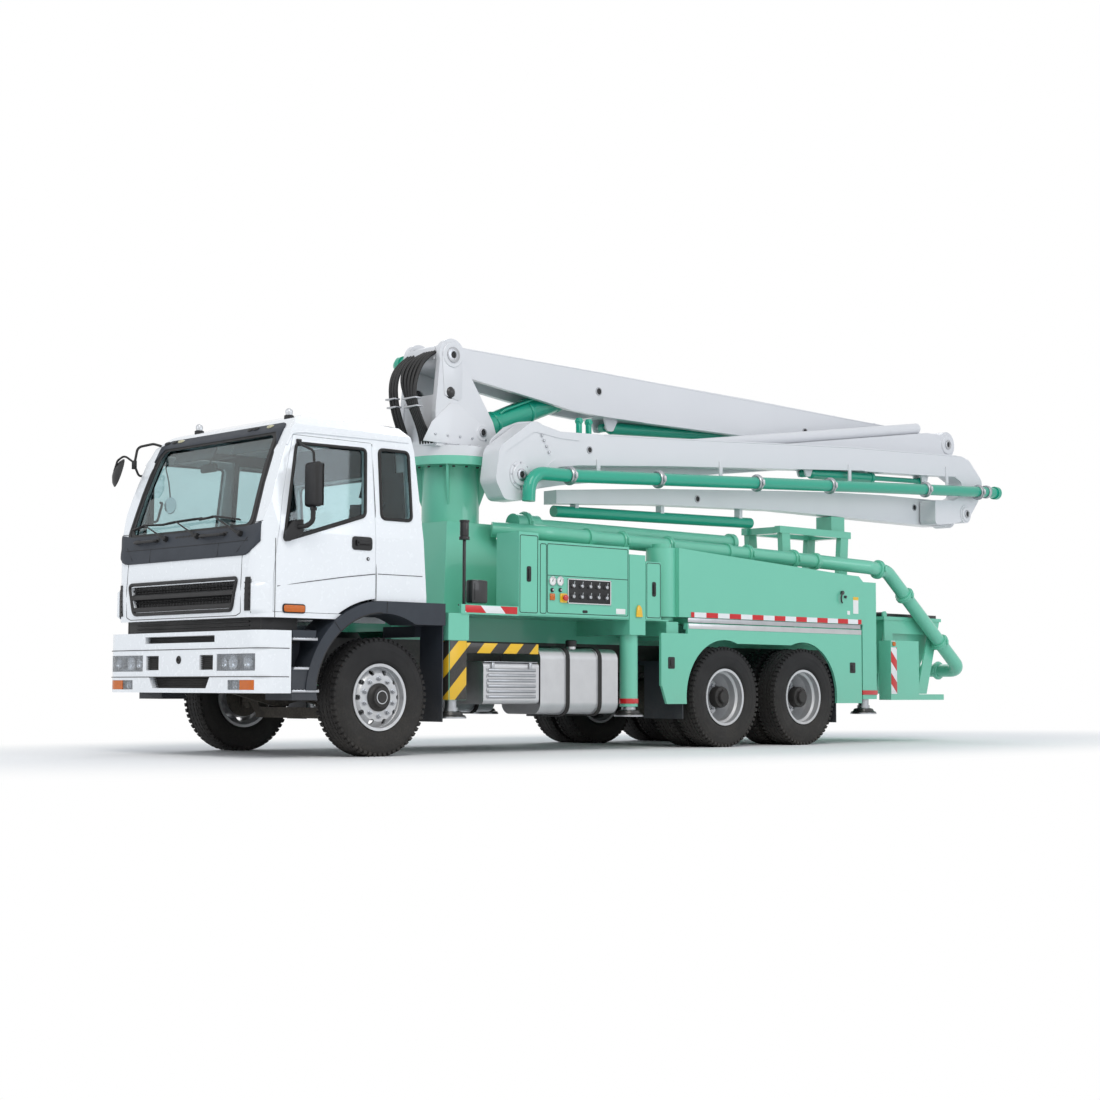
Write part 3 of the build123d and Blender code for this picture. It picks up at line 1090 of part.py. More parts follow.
# ---- all nodes ----------------------------------------------------------------------
def build():
    outer = cab_form(0)
    inner = cab_form(CAB_WALL)
    skin = outer - inner
    pane = cab_form(20) - cab_form(26)
    nodes = {
        "chassis_rails": chassis_rails(),
        "axles": axles(),
        "engine": engine(),
        "cab_shell": cab_shell(skin),
        "cab_glass": cab_glass(pane),
        "cab_interior": cab_interior(),
        "cab_trim": cab_trim(),
        "bumper": bumper(),
        "lamps": lamps(),
        "fenders": fenders(),
        "tanks": tanks(),
        "deck": deck(),
        "body_sides": body_sides() + arm_pins(),
        "hopper": hopper(),
        "hopper_grate": hopper_grate(),
        "pump_unit": pump_unit(),
        "deck_lines": deck_lines(),
        "tie_rod": tie_rod(),
        "turret": turret(),
        "turret_line": turret_line(),
        "boom_1": boom_1(),
        "boom_2": boom_2(),
        "boom_3": boom_3(),
        "boom_4": boom_4(),
        "boom_line_1": boom_line_1(),
        "boom_line_2": boom_line_2(),
        "boom_line_3": boom_line_3(),
        "boom_line_4": boom_line_4(),
        "lift_barrel": lift_barrel(),
        "lift_rod": lift_rod(),
        "fold_ram_1": fold_ram_1(),
        "fold_ram_3": fold_ram_3(),
    }
    # jacks: name, station, underside of the housing
    jacks = (("front", FRONT_JACK, 500), ("middle", MID_JACK, 430), ("rear", REAR_JACK, 500))
    for hand, side in (("left", 1), ("right", -1)):
        nodes[f"door_{hand}"] = door(side, skin)
        nodes[f"door_glass_{hand}"] = door_glass(side, pane)
        nodes[f"door_trim_{hand}"] = door_trim(side)
        nodes[f"outrigger_arm_{hand}"] = outrigger_arm(side)
        nodes[f"knuckle_{hand}"] = knuckle(side)
        nodes[f"rim_front_{hand}"] = front_rim(side)
        nodes[f"tyre_front_{hand}"] = at_axle(tyre(FRONT_RIM_X, side), FRONT_AXLE)
        for number, station in enumerate(REAR_AXLES, 1):
            nodes[f"rims_rear_{number}_{hand}"] = rear_rims(side, station)
            nodes[f"tyres_rear_{number}_{hand}"] = rear_tyres(side, station)
        for name, station, housing_low in jacks:
            nodes[f"foot_{name}_{hand}"] = foot(side, station, housing_low)
    return nodes


os.makedirs("parts", exist_ok=True)
for name, shape in build().items():
    export_step(shape, f"parts/{name}.step")
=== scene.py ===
"""Looks for the truck-mounted concrete pump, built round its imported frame.

Metres, +Z up. The truck faces -Y and +X is its left side. A station is a distance back
from the bumper's face.
"""

import math
from contextlib import contextmanager

import bpy
from mathutils import Matrix, Vector


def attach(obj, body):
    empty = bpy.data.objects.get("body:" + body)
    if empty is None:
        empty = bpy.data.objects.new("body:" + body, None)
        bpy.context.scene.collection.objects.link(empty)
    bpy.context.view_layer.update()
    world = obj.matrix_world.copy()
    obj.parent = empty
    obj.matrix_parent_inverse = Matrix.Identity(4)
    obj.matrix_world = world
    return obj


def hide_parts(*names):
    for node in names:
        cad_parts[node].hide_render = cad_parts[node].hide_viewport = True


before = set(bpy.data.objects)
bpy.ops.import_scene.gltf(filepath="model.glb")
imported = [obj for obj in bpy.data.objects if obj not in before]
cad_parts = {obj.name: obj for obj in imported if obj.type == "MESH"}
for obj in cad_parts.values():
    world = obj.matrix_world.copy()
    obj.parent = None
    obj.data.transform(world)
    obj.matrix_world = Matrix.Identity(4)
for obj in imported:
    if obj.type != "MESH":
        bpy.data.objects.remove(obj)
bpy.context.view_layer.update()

# ---- the truck's own sizes, in metres -------------------------------------------------
HALF_LENGTH = 5.82
HUB_Z = 0.525
FRONT_AXLE = 1.34
REAR_AXLES = (5.93, 7.235)
FRONT_RIM_X = 1.175  # outer flange of the front rim
REAR_RIM_X = 1.223  # outer flange of the outer rear rim
DUAL_GAP = 0.34
RIM_WIDTH = 0.252
SLEW = 3.15
LEFT, RIGHT = SIDES = 1, -1
HANDS = (("left", LEFT), ("right", RIGHT))
SHEET_X = 1.2125  # outer face of the side sheet round the rear wheels
TAIL_X = 1.2155  # outer face of the box beside the hopper
ARM_X = 1.2195  # outer face of the outrigger arm and the side boxes
CABINET_X = 1.2205  # outer face of the control cabinet and the platform's edge
EAR_X = 0.282  # outer face of the turret's ears
BOOM_3_X = 0.762  # outer face of boom_3's cheeks
LINE_3_X = 0.85  # axis of the concrete line beside boom_3
# the boom's pins as (station, z), each named after the sections it joins
ROOT_PIN = (2.92, 3.91)
RAM_PIN = (3.32, 3.17)
PIN_1_2 = (11.06, 3.735)
PIN_2_3 = (3.41, 2.715)
PIN_3_4 = (11.08, 2.83)


def at(x, station, z):
    return Vector((x, station - HALF_LENGTH, z))


def tint(red, green, blue):
    """A screen colour of 0 to 255 as the linear colour that shaders take."""
    steps = []
    for part in (red, green, blue):
        part /= 255
        steps.append(part / 12.92 if part <= 0.04045 else ((part + 0.055) / 1.055) ** 2.4)
    return (*steps, 1.0)


# ---- finishes --------------------------------------------------------------------------
def new_group(name, takes, gives):
    """A shader group with its inputs as (label, kind, value) and outputs as (label, kind)."""
    group = bpy.data.node_groups.new(name, "ShaderNodeTree")
    for label, kind, value in takes:
        socket = group.interface.new_socket(name=label, in_out="INPUT", socket_type="NodeSocket" + kind)
        if value is not None:
            socket.default_value = value
    for label, kind in gives:
        group.interface.new_socket(name=label, in_out="OUTPUT", socket_type="NodeSocket" + kind)
    inner = group.nodes.new("NodeGroupInput").outputs[:len(takes)]
    return group, inner, group.nodes.new("NodeGroupOutput")


def feed(tree, socket, value):
    """Links an input to another node's socket, or sets it to a plain value."""
    if isinstance(value, bpy.types.NodeSocket):
        tree.links.new(value, socket)
    else:
        socket.default_value = value


def add(tree, kind, settings=(), **links):
    """A node with its settings, whose inputs are linked to sockets or set to values."""
    node = tree.nodes.new("ShaderNode" + kind)
    for key, value in dict(settings).items():
        setattr(node, key, value)
    for key, value in links.items():
        feed(tree, node.inputs[int(key[1:]) if key[0] == "_" else key.replace("_", " ")], value)
    return node


def wire(tree, node, **inputs):
    """Feeds a node's inputs by their labels, with _ for a space."""
    for key, value in inputs.items():
        feed(tree, node.inputs[key.replace("_", " ")], value)


def give(group, gives, *sockets):
    """Links the sockets to the outputs of a group, in turn."""
    for number, socket in enumerate(sockets):
        group.links.new(socket, gives.inputs[number])
    return group


def math_node(tree, operation, first, second=0.0, third=0.0, clamp=False):
    return add(tree, "Math", {"operation": operation, "use_clamp": clamp}, _0=first, _1=second,
               _2=third).outputs[0]


def mixed(tree, share, first, second):
    """Two colours mixed by share."""
    node = tree.nodes.new("ShaderNodeMix")
    node.data_type = "RGBA"
    for number, value in ((0, share), (6, first), (7, second)):
        feed(tree, node.inputs[number], value)
    return node.outputs[2]


def sprayed_paint_group():
    """Slight changes of tone over a sprayed panel, its orange peel, and its uneven gloss."""
    group, (place, colour, shade, spread, gloss), gives = new_group(
        "Sprayed paint",
        [("Place", "Vector", None), ("Colour", "Color", (1, 1, 1, 1)), ("Shade", "Color", (0, 0, 0, 1)),
         ("Spread", "Float", 0.2), ("Gloss", "Float", 0.3)],
        [("Colour", "Color"), ("Roughness", "Float"), ("Height", "Float")])
    clouds = add(group, "TexNoise", Vector=place, Scale=1.3, Detail=5.0)
    fine = add(group, "TexNoise", Vector=place, Scale=24.0, Detail=3.0)
    peel = add(group, "TexNoise", Vector=place, Scale=260.0, Detail=2.0)
    share = math_node(group, "MULTIPLY", clouds.outputs[0], spread)
    tone = mixed(group, share, colour, shade)
    uneven = math_node(group, "MULTIPLY_ADD", fine.outputs[0], 0.12, gloss)
    return give(group, gives, tone, uneven, peel.outputs[0])


def road_film_group():
    """Pale dust that thins out with height above the road."""
    group, (place, colour, film, amount, top), gives = new_group(
        "Road film",
        [("Place", "Vector", None), ("Colour", "Color", (1, 1, 1, 1)), ("Film", "Color", tint(150, 140, 125)),
         ("Amount", "Float", 0.3), ("Top", "Float", 1.2)],
        [("Colour", "Color"), ("Cover", "Float")])
    height = add(group, "SeparateXYZ", _0=place).outputs[2]
    low = math_node(group, "DIVIDE", height, top)
    low = math_node(group, "SUBTRACT", 1.0, low, clamp=True)
    patches = add(group, "TexNoise", Vector=place, Scale=6.0, Detail=6.0)
    specks = add(group, "TexNoise", Vector=place, Scale=55.0, Detail=3.0)
    broken = math_node(group, "MULTIPLY", patches.outputs[0], specks.outputs[0])
    broken = math_node(group, "MULTIPLY_ADD", broken, 2.6, 0.1)
    cover = math_node(group, "MULTIPLY", math_node(group, "MULTIPLY", low, broken), amount, clamp=True)
    return give(group, gives, mixed(group, cover, colour, film), cover)


def moulded_grain_group():
    """The fine leathery grain of moulded plastic, or the tooth of cast and rolled metal."""
    group, (place, colour, shade, size, roughness), gives = new_group(
        "Moulded grain",
        [("Place", "Vector", None), ("Colour", "Color", (1, 1, 1, 1)), ("Shade", "Color", (0, 0, 0, 1)),
         ("Size", "Float", 300.0), ("Rough", "Float", 0.5)],
        [("Colour", "Color"), ("Roughness", "Float"), ("Height", "Float")])
    cells = add(group, "TexVoronoi", Vector=place, Scale=size)
    clouds = add(group, "TexNoise", Vector=place, Scale=5.0, Detail=5.0)
    tone = mixed(group, clouds.outputs[0], colour, shade)
    rough = math_node(group, "MULTIPLY_ADD", clouds.outputs[0], 0.18, roughness)
    return give(group, gives, tone, rough, cells.outputs[0])


def drawn_metal_group():
    """Long fine lines left in metal by rolling or brushing, along one axis."""
    group, (place, stretch, colour, shade, gloss), gives = new_group(
        "Drawn metal",
        [("Place", "Vector", None), ("Stretch", "Vector", (1, 40, 40)), ("Colour", "Color", (1, 1, 1, 1)),
         ("Shade", "Color", (0, 0, 0, 1)), ("Gloss", "Float", 0.3)],
        [("Colour", "Color"), ("Roughness", "Float"), ("Height", "Float")])
    pulled = add(group, "VectorMath", {"operation": "MULTIPLY"}, _0=place, _1=stretch)
    lines = add(group, "TexNoise", Vector=pulled.outputs[0], Scale=12.0, Detail=6.0)
    clouds = add(group, "TexNoise", Vector=place, Scale=7.0, Detail=4.0)
    blend = math_node(group, "MULTIPLY", lines.outputs[0], clouds.outputs[0], clamp=True)
    tone = mixed(group, blend, colour, shade)
    rough = math_node(group, "MULTIPLY_ADD", lines.outputs[0], 0.2, gloss)
    return give(group, gives, tone, rough, lines.outputs[0])


def banded_group():
    """Two colours in bands across a direction, each half a pitch wide."""
    group, (place, across, pitch, first, second), gives = new_group(
        "Banded",
        [("Place", "Vector", None), ("Across", "Vector", (0, 1, 0)), ("Pitch", "Float", 0.3),
         ("First", "Color", (1, 1, 1, 1)), ("Second", "Color", (1, 0, 0, 1))],
        [("Colour", "Color")])
    run = add(group, "VectorMath", {"operation": "DOT_PRODUCT"}, _0=place, _1=across)
    turns = math_node(group, "DIVIDE", run.outputs[1], pitch)
    share = math_node(group, "GREATER_THAN", math_node(group, "FRACT", turns), 0.5)
    return give(group, gives, mixed(group, share, first, second))


PAINT = sprayed_paint_group()
FILM = road_film_group()
GRAIN = moulded_grain_group()
DRAWN = drawn_metal_group()
BANDED = banded_group()


def use_group(tree, group, **inputs):
    node = tree.nodes.new("ShaderNodeGroup")
    node.node_tree = group
    wire(tree, node, **inputs)
    return node


def start_finish(name):
    """An empty finish: its node tree, its shader, and the place on the object."""
    finish = bpy.data.materials.new(name)
    finish.use_nodes = True
    tree = finish.node_tree
    place = tree.nodes.new("ShaderNodeTexCoord").outputs["Object"]
    return finish, tree, tree.nodes["Principled BSDF"], place


def bump(tree, shader, height, strength, distance=0.001):
    node = add(tree, "Bump", Strength=strength, Distance=distance, Height=height)
    tree.links.new(node.outputs[0], shader.inputs["Normal"])


def paint(name, colour, shade, gloss=0.28, film=0.25, film_top=1.3, coat=0.6, metallic=0.0):
    """Sprayed and lacquered steel, with a little road film low down."""
    finish, tree, shader, place = start_finish(name)
    sprayed = use_group(tree, PAINT, Place=place, Colour=colour, Shade=shade, Spread=0.3, Gloss=gloss)
    dusty = use_group(tree, FILM, Place=place, Colour=sprayed.outputs[0], Amount=film, Top=film_top)
    rough = math_node(tree, "MULTIPLY_ADD", dusty.outputs[1], 0.4, sprayed.outputs[1])
    wire(tree, shader, Base_Color=dusty.outputs[0], Roughness=rough, Metallic=metallic, Coat_Weight=coat,
         Coat_Roughness=0.06)
    bump(tree, shader, sprayed.outputs[2], 0.12, 0.0006)
    return finish


def moulded(name, colour, shade, rough=0.45, size=420.0, depth=0.25, film=0.2, film_top=1.0):
    """Moulded plastic, rubber or cast metal with a grain."""
    finish, tree, shader, place = start_finish(name)
    grain = use_group(tree, GRAIN, Place=place, Colour=colour, Shade=shade, Size=size, Rough=rough)
    dusty = use_group(tree, FILM, Place=place, Colour=grain.outputs[0], Amount=film, Top=film_top)
    wire(tree, shader, Base_Color=dusty.outputs[0], Roughness=grain.outputs[1])
    bump(tree, shader, grain.outputs[2], depth, 0.0008)
    return finish


def drawn(name, colour, shade, gloss=0.22, stretch=(40, 1, 40), depth=0.08):
    """Bare metal with the lines of its making."""
    finish, tree, shader, place = start_finish(name)
    metal = use_group(tree, DRAWN, Place=place, Stretch=stretch, Colour=colour, Shade=shade, Gloss=gloss)
    wire(tree, shader, Base_Color=metal.outputs[0], Roughness=metal.outputs[1], Metallic=1.0)
    bump(tree, shader, metal.outputs[2], depth, 0.0005)
    return finish


def banded(name, across, pitch, first, second):
    """Warning tape or painted bands."""
    finish, tree, shader, place = start_finish(name)
    bands = use_group(tree, BANDED, Place=place, Across=across, Pitch=pitch, First=first, Second=second)
    dusty = use_group(tree, FILM, Place=place, Colour=bands.outputs[0], Amount=0.25, Top=1.4)
    cells = add(tree, "TexVoronoi", Vector=place, Scale=160.0)
    wire(tree, shader, Base_Color=dusty.outputs[0], Roughness=0.32)
    bump(tree, shader, cells.outputs[0], 0.1, 0.0004)
    return finish


def pane(name, colour, clear=0.85):
    """Tinted glass: what shows through it is darkened by its colour."""
    finish, tree, shader, place = start_finish(name)
    ripple = add(tree, "TexNoise", Vector=place, Scale=1.6, Detail=2.0)
    tone = mixed(tree, ripple.outputs[0], colour, tuple(0.9 * c for c in colour[:3]) + (1,))
    wire(tree, shader, Base_Color=tone, Roughness=0.02, Transmission_Weight=clear, IOR=1.45)
    bump(tree, shader, ripple.outputs[0], 0.02, 0.002)
    return finish


def lens(name, colour, ribs=(0, 0, 1), pitch=0.02, clear=0.6):
    """A moulded lamp lens with shallow ribs across it."""
    finish, tree, shader, place = start_finish(name)
    run = add(tree, "VectorMath", {"operation": "DOT_PRODUCT"}, _0=place, _1=ribs)
    wave = math_node(tree, "SINE", math_node(tree, "MULTIPLY", run.outputs[1], 2 * math.pi / pitch))
    glow = add(tree, "TexNoise", Vector=place, Scale=30.0)
    tone = mixed(tree, glow.outputs[0], colour, tuple(0.8 * c for c in colour[:3]) + (1,))
    wire(tree, shader, Base_Color=tone, Roughness=0.08, Transmission_Weight=clear)
    bump(tree, shader, wave, 0.35, 0.0015)
    return finish


WHITE = paint("cab paint", tint(240, 243, 246), tint(228, 233, 238), gloss=0.2, coat=1.0, film=0.03,
              film_top=1.0)
BOOM = paint("boom paint", tint(222, 223, 226), tint(205, 207, 211), gloss=0.33, film=0.0, coat=0.3)
MINT = paint("mint paint", tint(112, 200, 172), tint(96, 184, 158), gloss=0.3, film=0.2, film_top=1.0,
             coat=0.5)
GREEN = paint("pipe green", tint(12, 166, 136), tint(8, 136, 114), gloss=0.3, film=0.0, coat=0.45)
DARK_FRAME = paint("frame paint", tint(38, 40, 43), tint(28, 30, 33), gloss=0.45, film=0.5, film_top=1.3,
                   coat=0.1)
BLACK_PAINT = paint("black paint", tint(26, 26, 28), tint(16, 16, 18), gloss=0.35, film=0.04, coat=0.3)
SILVER_PAINT = paint("wheel silver", tint(205, 207, 210), tint(180, 182, 186), gloss=0.3, film=0.35,
                     film_top=1.1, coat=0.3, metallic=0.55)
CAST = moulded("painted iron", tint(34, 35, 37), tint(22, 23, 25), rough=0.6, size=120.0, depth=0.5, film=0.6,
               film_top=1.1)
TREAD = moulded("tyre rubber", tint(24, 24, 26), tint(15, 15, 17), rough=0.7, size=260.0, depth=0.35,
                film=0.1, film_top=0.9)
GREY_PLASTIC = moulded("grey plastic", tint(42, 49, 59), tint(34, 40, 49), rough=0.48, size=600.0, film=0.15)
BLACK_PLASTIC = moulded("black plastic", tint(17, 17, 20), tint(11, 11, 13), rough=0.42, size=600.0, film=0.1)
CABIN = moulded("cabin plastic", tint(72, 80, 86), tint(56, 62, 68), rough=0.6, size=700.0, film=0.0)
SEAT = moulded("seat cloth", tint(60, 66, 76), tint(44, 49, 58), rough=0.85, size=900.0, depth=0.6, film=0.0)
RUBBER = moulded("black rubber", tint(20, 20, 21), tint(12, 12, 13), rough=0.5, size=500.0, film=0.15)
HOSE = moulded("hose rubber", tint(24, 24, 26), tint(14, 14, 15), rough=0.42, size=900.0, film=0.0)
TANK = drawn("tank metal", tint(205, 206, 208), tint(168, 169, 172), gloss=0.24, stretch=(1, 60, 1))
STEEL = drawn("zinc steel", tint(190, 192, 196), tint(140, 142, 146), gloss=0.28, stretch=(30, 30, 2))
CHROME = drawn("chrome", tint(225, 226, 228), tint(205, 206, 208), gloss=0.06, stretch=(20, 2, 20),
               depth=0.01)
MIRROR = drawn("mirror glass", tint(215, 220, 224), tint(205, 210, 215), gloss=0.02, stretch=(2, 2, 2),
               depth=0.0)
GLASS = pane("cab glass", tint(206, 228, 230), clear=1.0)
CLEAR_LENS = lens("clear lens", tint(228, 233, 238), ribs=(1, 0, 0), pitch=0.03, clear=0.9)
AMBER_LENS = lens("amber lens", tint(240, 120, 20), ribs=(0, 1, 0), pitch=0.012, clear=0.25)
CREAM_LENS = lens("cream lens", tint(236, 230, 190), ribs=(1, 0, 0), pitch=0.012, clear=0.3)
RED_LENS = lens("red lens", tint(190, 20, 20), ribs=(1, 0, 0), pitch=0.012, clear=0.25)
RED_WHITE = banded("red and white tape", (0, 1, 0), 0.37, tint(235, 236, 238), tint(205, 25, 32))
RED_WHITE_SLANT = banded("slanted tape", (0, 0.86, 0.86), 0.42, tint(235, 236, 238), tint(205, 25, 32))
RED_WHITE_FINE = banded("fine slanted tape", (0, 0.86, 0.86), 0.22, tint(235, 236, 238), tint(205, 25, 32))
HAZARD = banded("hazard bands", (0.6, 0.75, -0.75), 0.25, tint(240, 190, 20), tint(24, 24, 26))
YELLOW = paint("yellow paint", tint(240, 190, 25), tint(225, 170, 15), film=0.0)
RED = paint("red paint", tint(200, 28, 32), tint(180, 20, 25), film=0.0)
PLATE_WHITE = paint("blank plate", tint(238, 238, 236), tint(228, 228, 226), film=0.0)


# ---- shop tools ------------------------------------------------------------------------
def free_hands():
    """Nothing selected, object mode."""
    if bpy.context.object and bpy.context.object.mode != "OBJECT":
        bpy.ops.object.mode_set(mode="OBJECT")
    bpy.ops.object.select_all(action="DESELECT")


def take(piece):
    free_hands()
    piece.select_set(True)
    bpy.context.view_layer.objects.active = piece
    return piece


def settle(piece, name=None):
    """Puts a piece's place, turn and size into its mesh."""
    take(piece)
    bpy.ops.object.transform_apply(location=True, rotation=True, scale=True)
    if name:
        piece.name = name
    return piece


@contextmanager
def editing(piece):
    """Edit mode, with the whole piece selected."""
    take(piece)
    bpy.ops.object.mode_set(mode="EDIT")
    bpy.ops.mesh.select_all(action="SELECT")
    yield
    bpy.ops.object.mode_set(mode="OBJECT")


def apply(piece, kind, **settings):
    take(piece)
    modifier = piece.modifiers.new(kind.lower(), kind)
    for key, value in settings.items():
        setattr(modifier, key, value)
    bpy.ops.object.modifier_apply(modifier=modifier.name)
    return piece


def soften(piece, width=0.003, segments=2, angle=35):
    """Small round edges, and smooth shading between them."""
    if width:
        apply(piece, "BEVEL", width=width, segments=segments, limit_method="ANGLE",
              angle_limit=math.radians(angle))
    take(piece)
    bpy.ops.object.shade_smooth_by_angle(angle=math.radians(angle))
    return piece


def box(x, station, z, edge=0.003, segments=2):
    """A box between (low, high) pairs, with round edges."""
    free_hands()
    middle = at((x[0] + x[1]) / 2, (station[0] + station[1]) / 2, (z[0] + z[1]) / 2)
    bpy.ops.mesh.primitive_cube_add(size=1, location=middle)
    piece = bpy.context.object
    piece.scale = (abs(x[1] - x[0]), abs(station[1] - station[0]), abs(z[1] - z[0]))
    return soften(settle(piece), edge, segments)


def loose_box(wide, long, tall, edge=0.002):
    """A box standing on the origin, to be copied to its places."""
    return box((-wide / 2, wide / 2), (HALF_LENGTH - long / 2, HALF_LENGTH + long / 2), (0, tall), edge, 1)


def bar(start, end, radius, edge=0.002, sides=28, cone=None):
    """A round bar between two points, or a cone when its end has a radius of its own."""
    free_hands()
    run = end - start
    turn = run.to_track_quat("Z", "Y").to_euler()
    bpy.ops.mesh.primitive_cone_add(
        vertices=sides, radius1=radius, radius2=radius if cone is None else cone, depth=run.length,
        location=(start + end) / 2, rotation=turn)
    return soften(settle(bpy.context.object), edge)


def outline(points):
    """A ring of edges through the points."""
    free_hands()
    bpy.ops.mesh.primitive_circle_add(vertices=len(points), fill_type="NOTHING")
    piece = bpy.context.object
    for corner, place in zip(piece.data.vertices, points):
        corner.co = place
    return piece


def plate(points, push, edge=0.002):
    """A flat outline of points, extruded by the vector push."""
    piece = outline(points)
    with editing(piece):
        bpy.ops.mesh.edge_face_add()
        bpy.ops.mesh.extrude_region_move(TRANSFORM_OT_translate={"value": push})
        bpy.ops.mesh.select_all(action="SELECT")
        bpy.ops.mesh.normals_make_consistent(inside=False)
    return soften(piece, edge)


def side_plate(points, x, thick, edge=0.002):
    """A side outline of (station, z) points at x, thick metres deep in the sense of its sign."""
    return plate([at(x, s, z) for s, z in points], (thick, 0, 0), edge)


def turned(profile, centre, axis, steps=48):
    """A closed profile of (run, radius) points turned about an axis through centre."""
    axis = Vector(axis).normalized()
    side = axis.orthogonal().normalized()
    piece = outline([centre + axis * run + side * max(radius, 0.0) for run, radius in profile])
    with editing(piece):
        bpy.ops.mesh.spin(steps=steps, angle=2 * math.pi, center=centre, axis=axis)
        bpy.ops.mesh.select_all(action="SELECT")
        bpy.ops.mesh.remove_doubles(threshold=0.00002)
        bpy.ops.mesh.normals_make_consistent(inside=False)
    return soften(piece, 0)


def ringed(piece, count, centre, axis):
    """A piece repeated round an axis, as one mesh."""
    with editing(piece):
        bpy.ops.mesh.spin(steps=count, dupli=True, angle=2 * math.pi, center=centre, axis=axis)
        bpy.ops.mesh.select_all(action="SELECT")
        bpy.ops.mesh.remove_doubles(threshold=0.00001)
    return piece


def bent(points, bend, steps=7):
    """The points with each corner rounded, for a bent rigid pipe."""
    route = [points[0]]
    for before, corner, after in zip(points, points[1:], points[2:]):
        back, on = (before - corner), (after - corner)
        half = back.angle(on) / 2
        reach = min(bend / math.tan(half), back.length * 0.49, on.length * 0.49)
        first, last = corner + back.normalized() * reach, corner + on.normalized() * reach
        for n in range(steps + 1):
            share = n / steps
            route.append(first.lerp(corner, share).lerp(corner.lerp(last, share), share))
    route.append(points[-1])
    return route


def swept(points, radius, sides, kind="POLY", closed=False):
    """A round section swept along a line: straight from point to point, or smooth when kind is NURBS."""
    free_hands()
    if kind == "NURBS":
        bpy.ops.curve.primitive_nurbs_path_add()
    else:
        bpy.ops.curve.primitive_bezier_curve_add()
    piece = bpy.context.object
    shape = piece.data
    shape.splines.clear()
    run = shape.splines.new(kind)
    run.points.add(len(points) - 1)
    for knot, place in zip(run.points, points):
        knot.co = (*place, 1)
    if kind == "NURBS":
        run.order_u = 4
        run.use_endpoint_u = True
        run.resolution_u = 8
    run.use_cyclic_u = closed
    piece.location = (0, 0, 0)
    shape.bevel_depth = radius
    shape.bevel_resolution = sides
    shape.use_fill_caps = not closed
    bpy.ops.object.convert(target="MESH")
    return soften(bpy.context.object, 0, angle=40)


def pipe(points, radius, bend=0.15, sides=5):
    """A bent pipe through the points, with closed ends."""
    places = [Vector(p) for p in points]
    return swept(bent(places, bend) if len(places) > 2 else places, radius, sides)


def hose(points, radius, sides=4):
    """A clipped hose on a smooth line through its points."""
    return swept(points, radius, sides, "NURBS")


def seal(points, radius, sides=4):
    """A round seal or seam that closes on itself."""
    return swept(points, radius, sides, closed=True)


def seam(points, radius=0.0035):
    """A fine dark line where two panels meet."""
    return pipe(points, radius, bend=0.02, sides=2)


def copy_of(piece, matrix):
    """A copy with its own mesh, moved by matrix."""
    twin = piece.copy()
    twin.data = piece.data.copy()
    bpy.context.scene.collection.objects.link(twin)
    twin.data.transform(matrix)
    if matrix.determinant() < 0:
        twin.data.flip_normals()
    return twin


def mirrored(piece):
    """The piece's twin on the truck's other side."""
    return copy_of(piece, Matrix.Scale(-1, 4, (1, 0, 0)))


def joined(name, pieces):
    """Several pieces as one, each face with its own finish."""
    pieces = [p for p in pieces if p]
    take(pieces[0])
    for extra in pieces[1:]:
        extra.select_set(True)
    if len(pieces) > 1:
        bpy.ops.object.join()
    piece = bpy.context.object
    piece.name = name
    return piece


def finished(piece, finish):
    """A piece, or several, in one finish."""
    for part in piece if isinstance(piece, (list, tuple)) else [piece]:
        part.data.materials.clear()
        part.data.materials.append(finish)
    return piece


def finish_each(*pairs):
    """Lists of pieces, each with its own finish."""
    for pieces, finish in pairs:
        finished(pieces, finish)


def fit(name, pieces, body, finish=None, replaces=()):
    """Joins pieces, names them, and lets them ride on a body."""
    pieces = list(pieces) if isinstance(pieces, (list, tuple)) else [pieces]
    if finish:
        finished(pieces, finish)
    piece = joined(name, pieces)
    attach(piece, body)
    if replaces:
        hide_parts(*replaces)
    return piece


def trim(name, pieces, finish=None, body="chassis"):
    """Black trim on a body, in black plastic unless another finish is named."""
    return fit(name, pieces, body, finish or BLACK_PLASTIC)


def both_sides(pieces):
    """Pieces with their twins on the other side."""
    pieces = list(pieces) if isinstance(pieces, (list, tuple)) else [pieces]
    return pieces + [mirrored(p) for p in pieces]


def bolts(places, axis, radius=0.012, height=0.01):
    """Hexagon heads at the places, standing along axis."""
    axis = Vector(axis).normalized()
    return [bar(place, place + axis * height, radius, edge=0.0015, sides=6) for place in places]


# ---- camera, light and floor -------------------------------------------------------------
CAMERA_PLACE = Vector((14.478, -15.0405, 0.6032))
CAMERA_TURNS = (math.pi / 2 - 0.7599, math.pi / 2 + 0.0732, 0.0033)  # about Z, then X, then the line of sight
CAMERA_LENS = 62.06


def aim_camera():
    """The photo's camera, as it was fitted to the picture."""
    turn, tip, lean = CAMERA_TURNS
    bpy.ops.object.camera_add(location=CAMERA_PLACE)
    camera = bpy.context.object
    camera.matrix_world = (
        Matrix.Translation(CAMERA_PLACE) @ Matrix.Rotation(turn, 4, "Z")
        @ Matrix.Rotation(tip, 4, "X") @ Matrix.Rotation(lean, 4, "Z"))
    camera.data.lens = CAMERA_LENS
    camera.data.sensor_width = 36
    camera.data.clip_end = 400
    bpy.context.scene.camera = camera


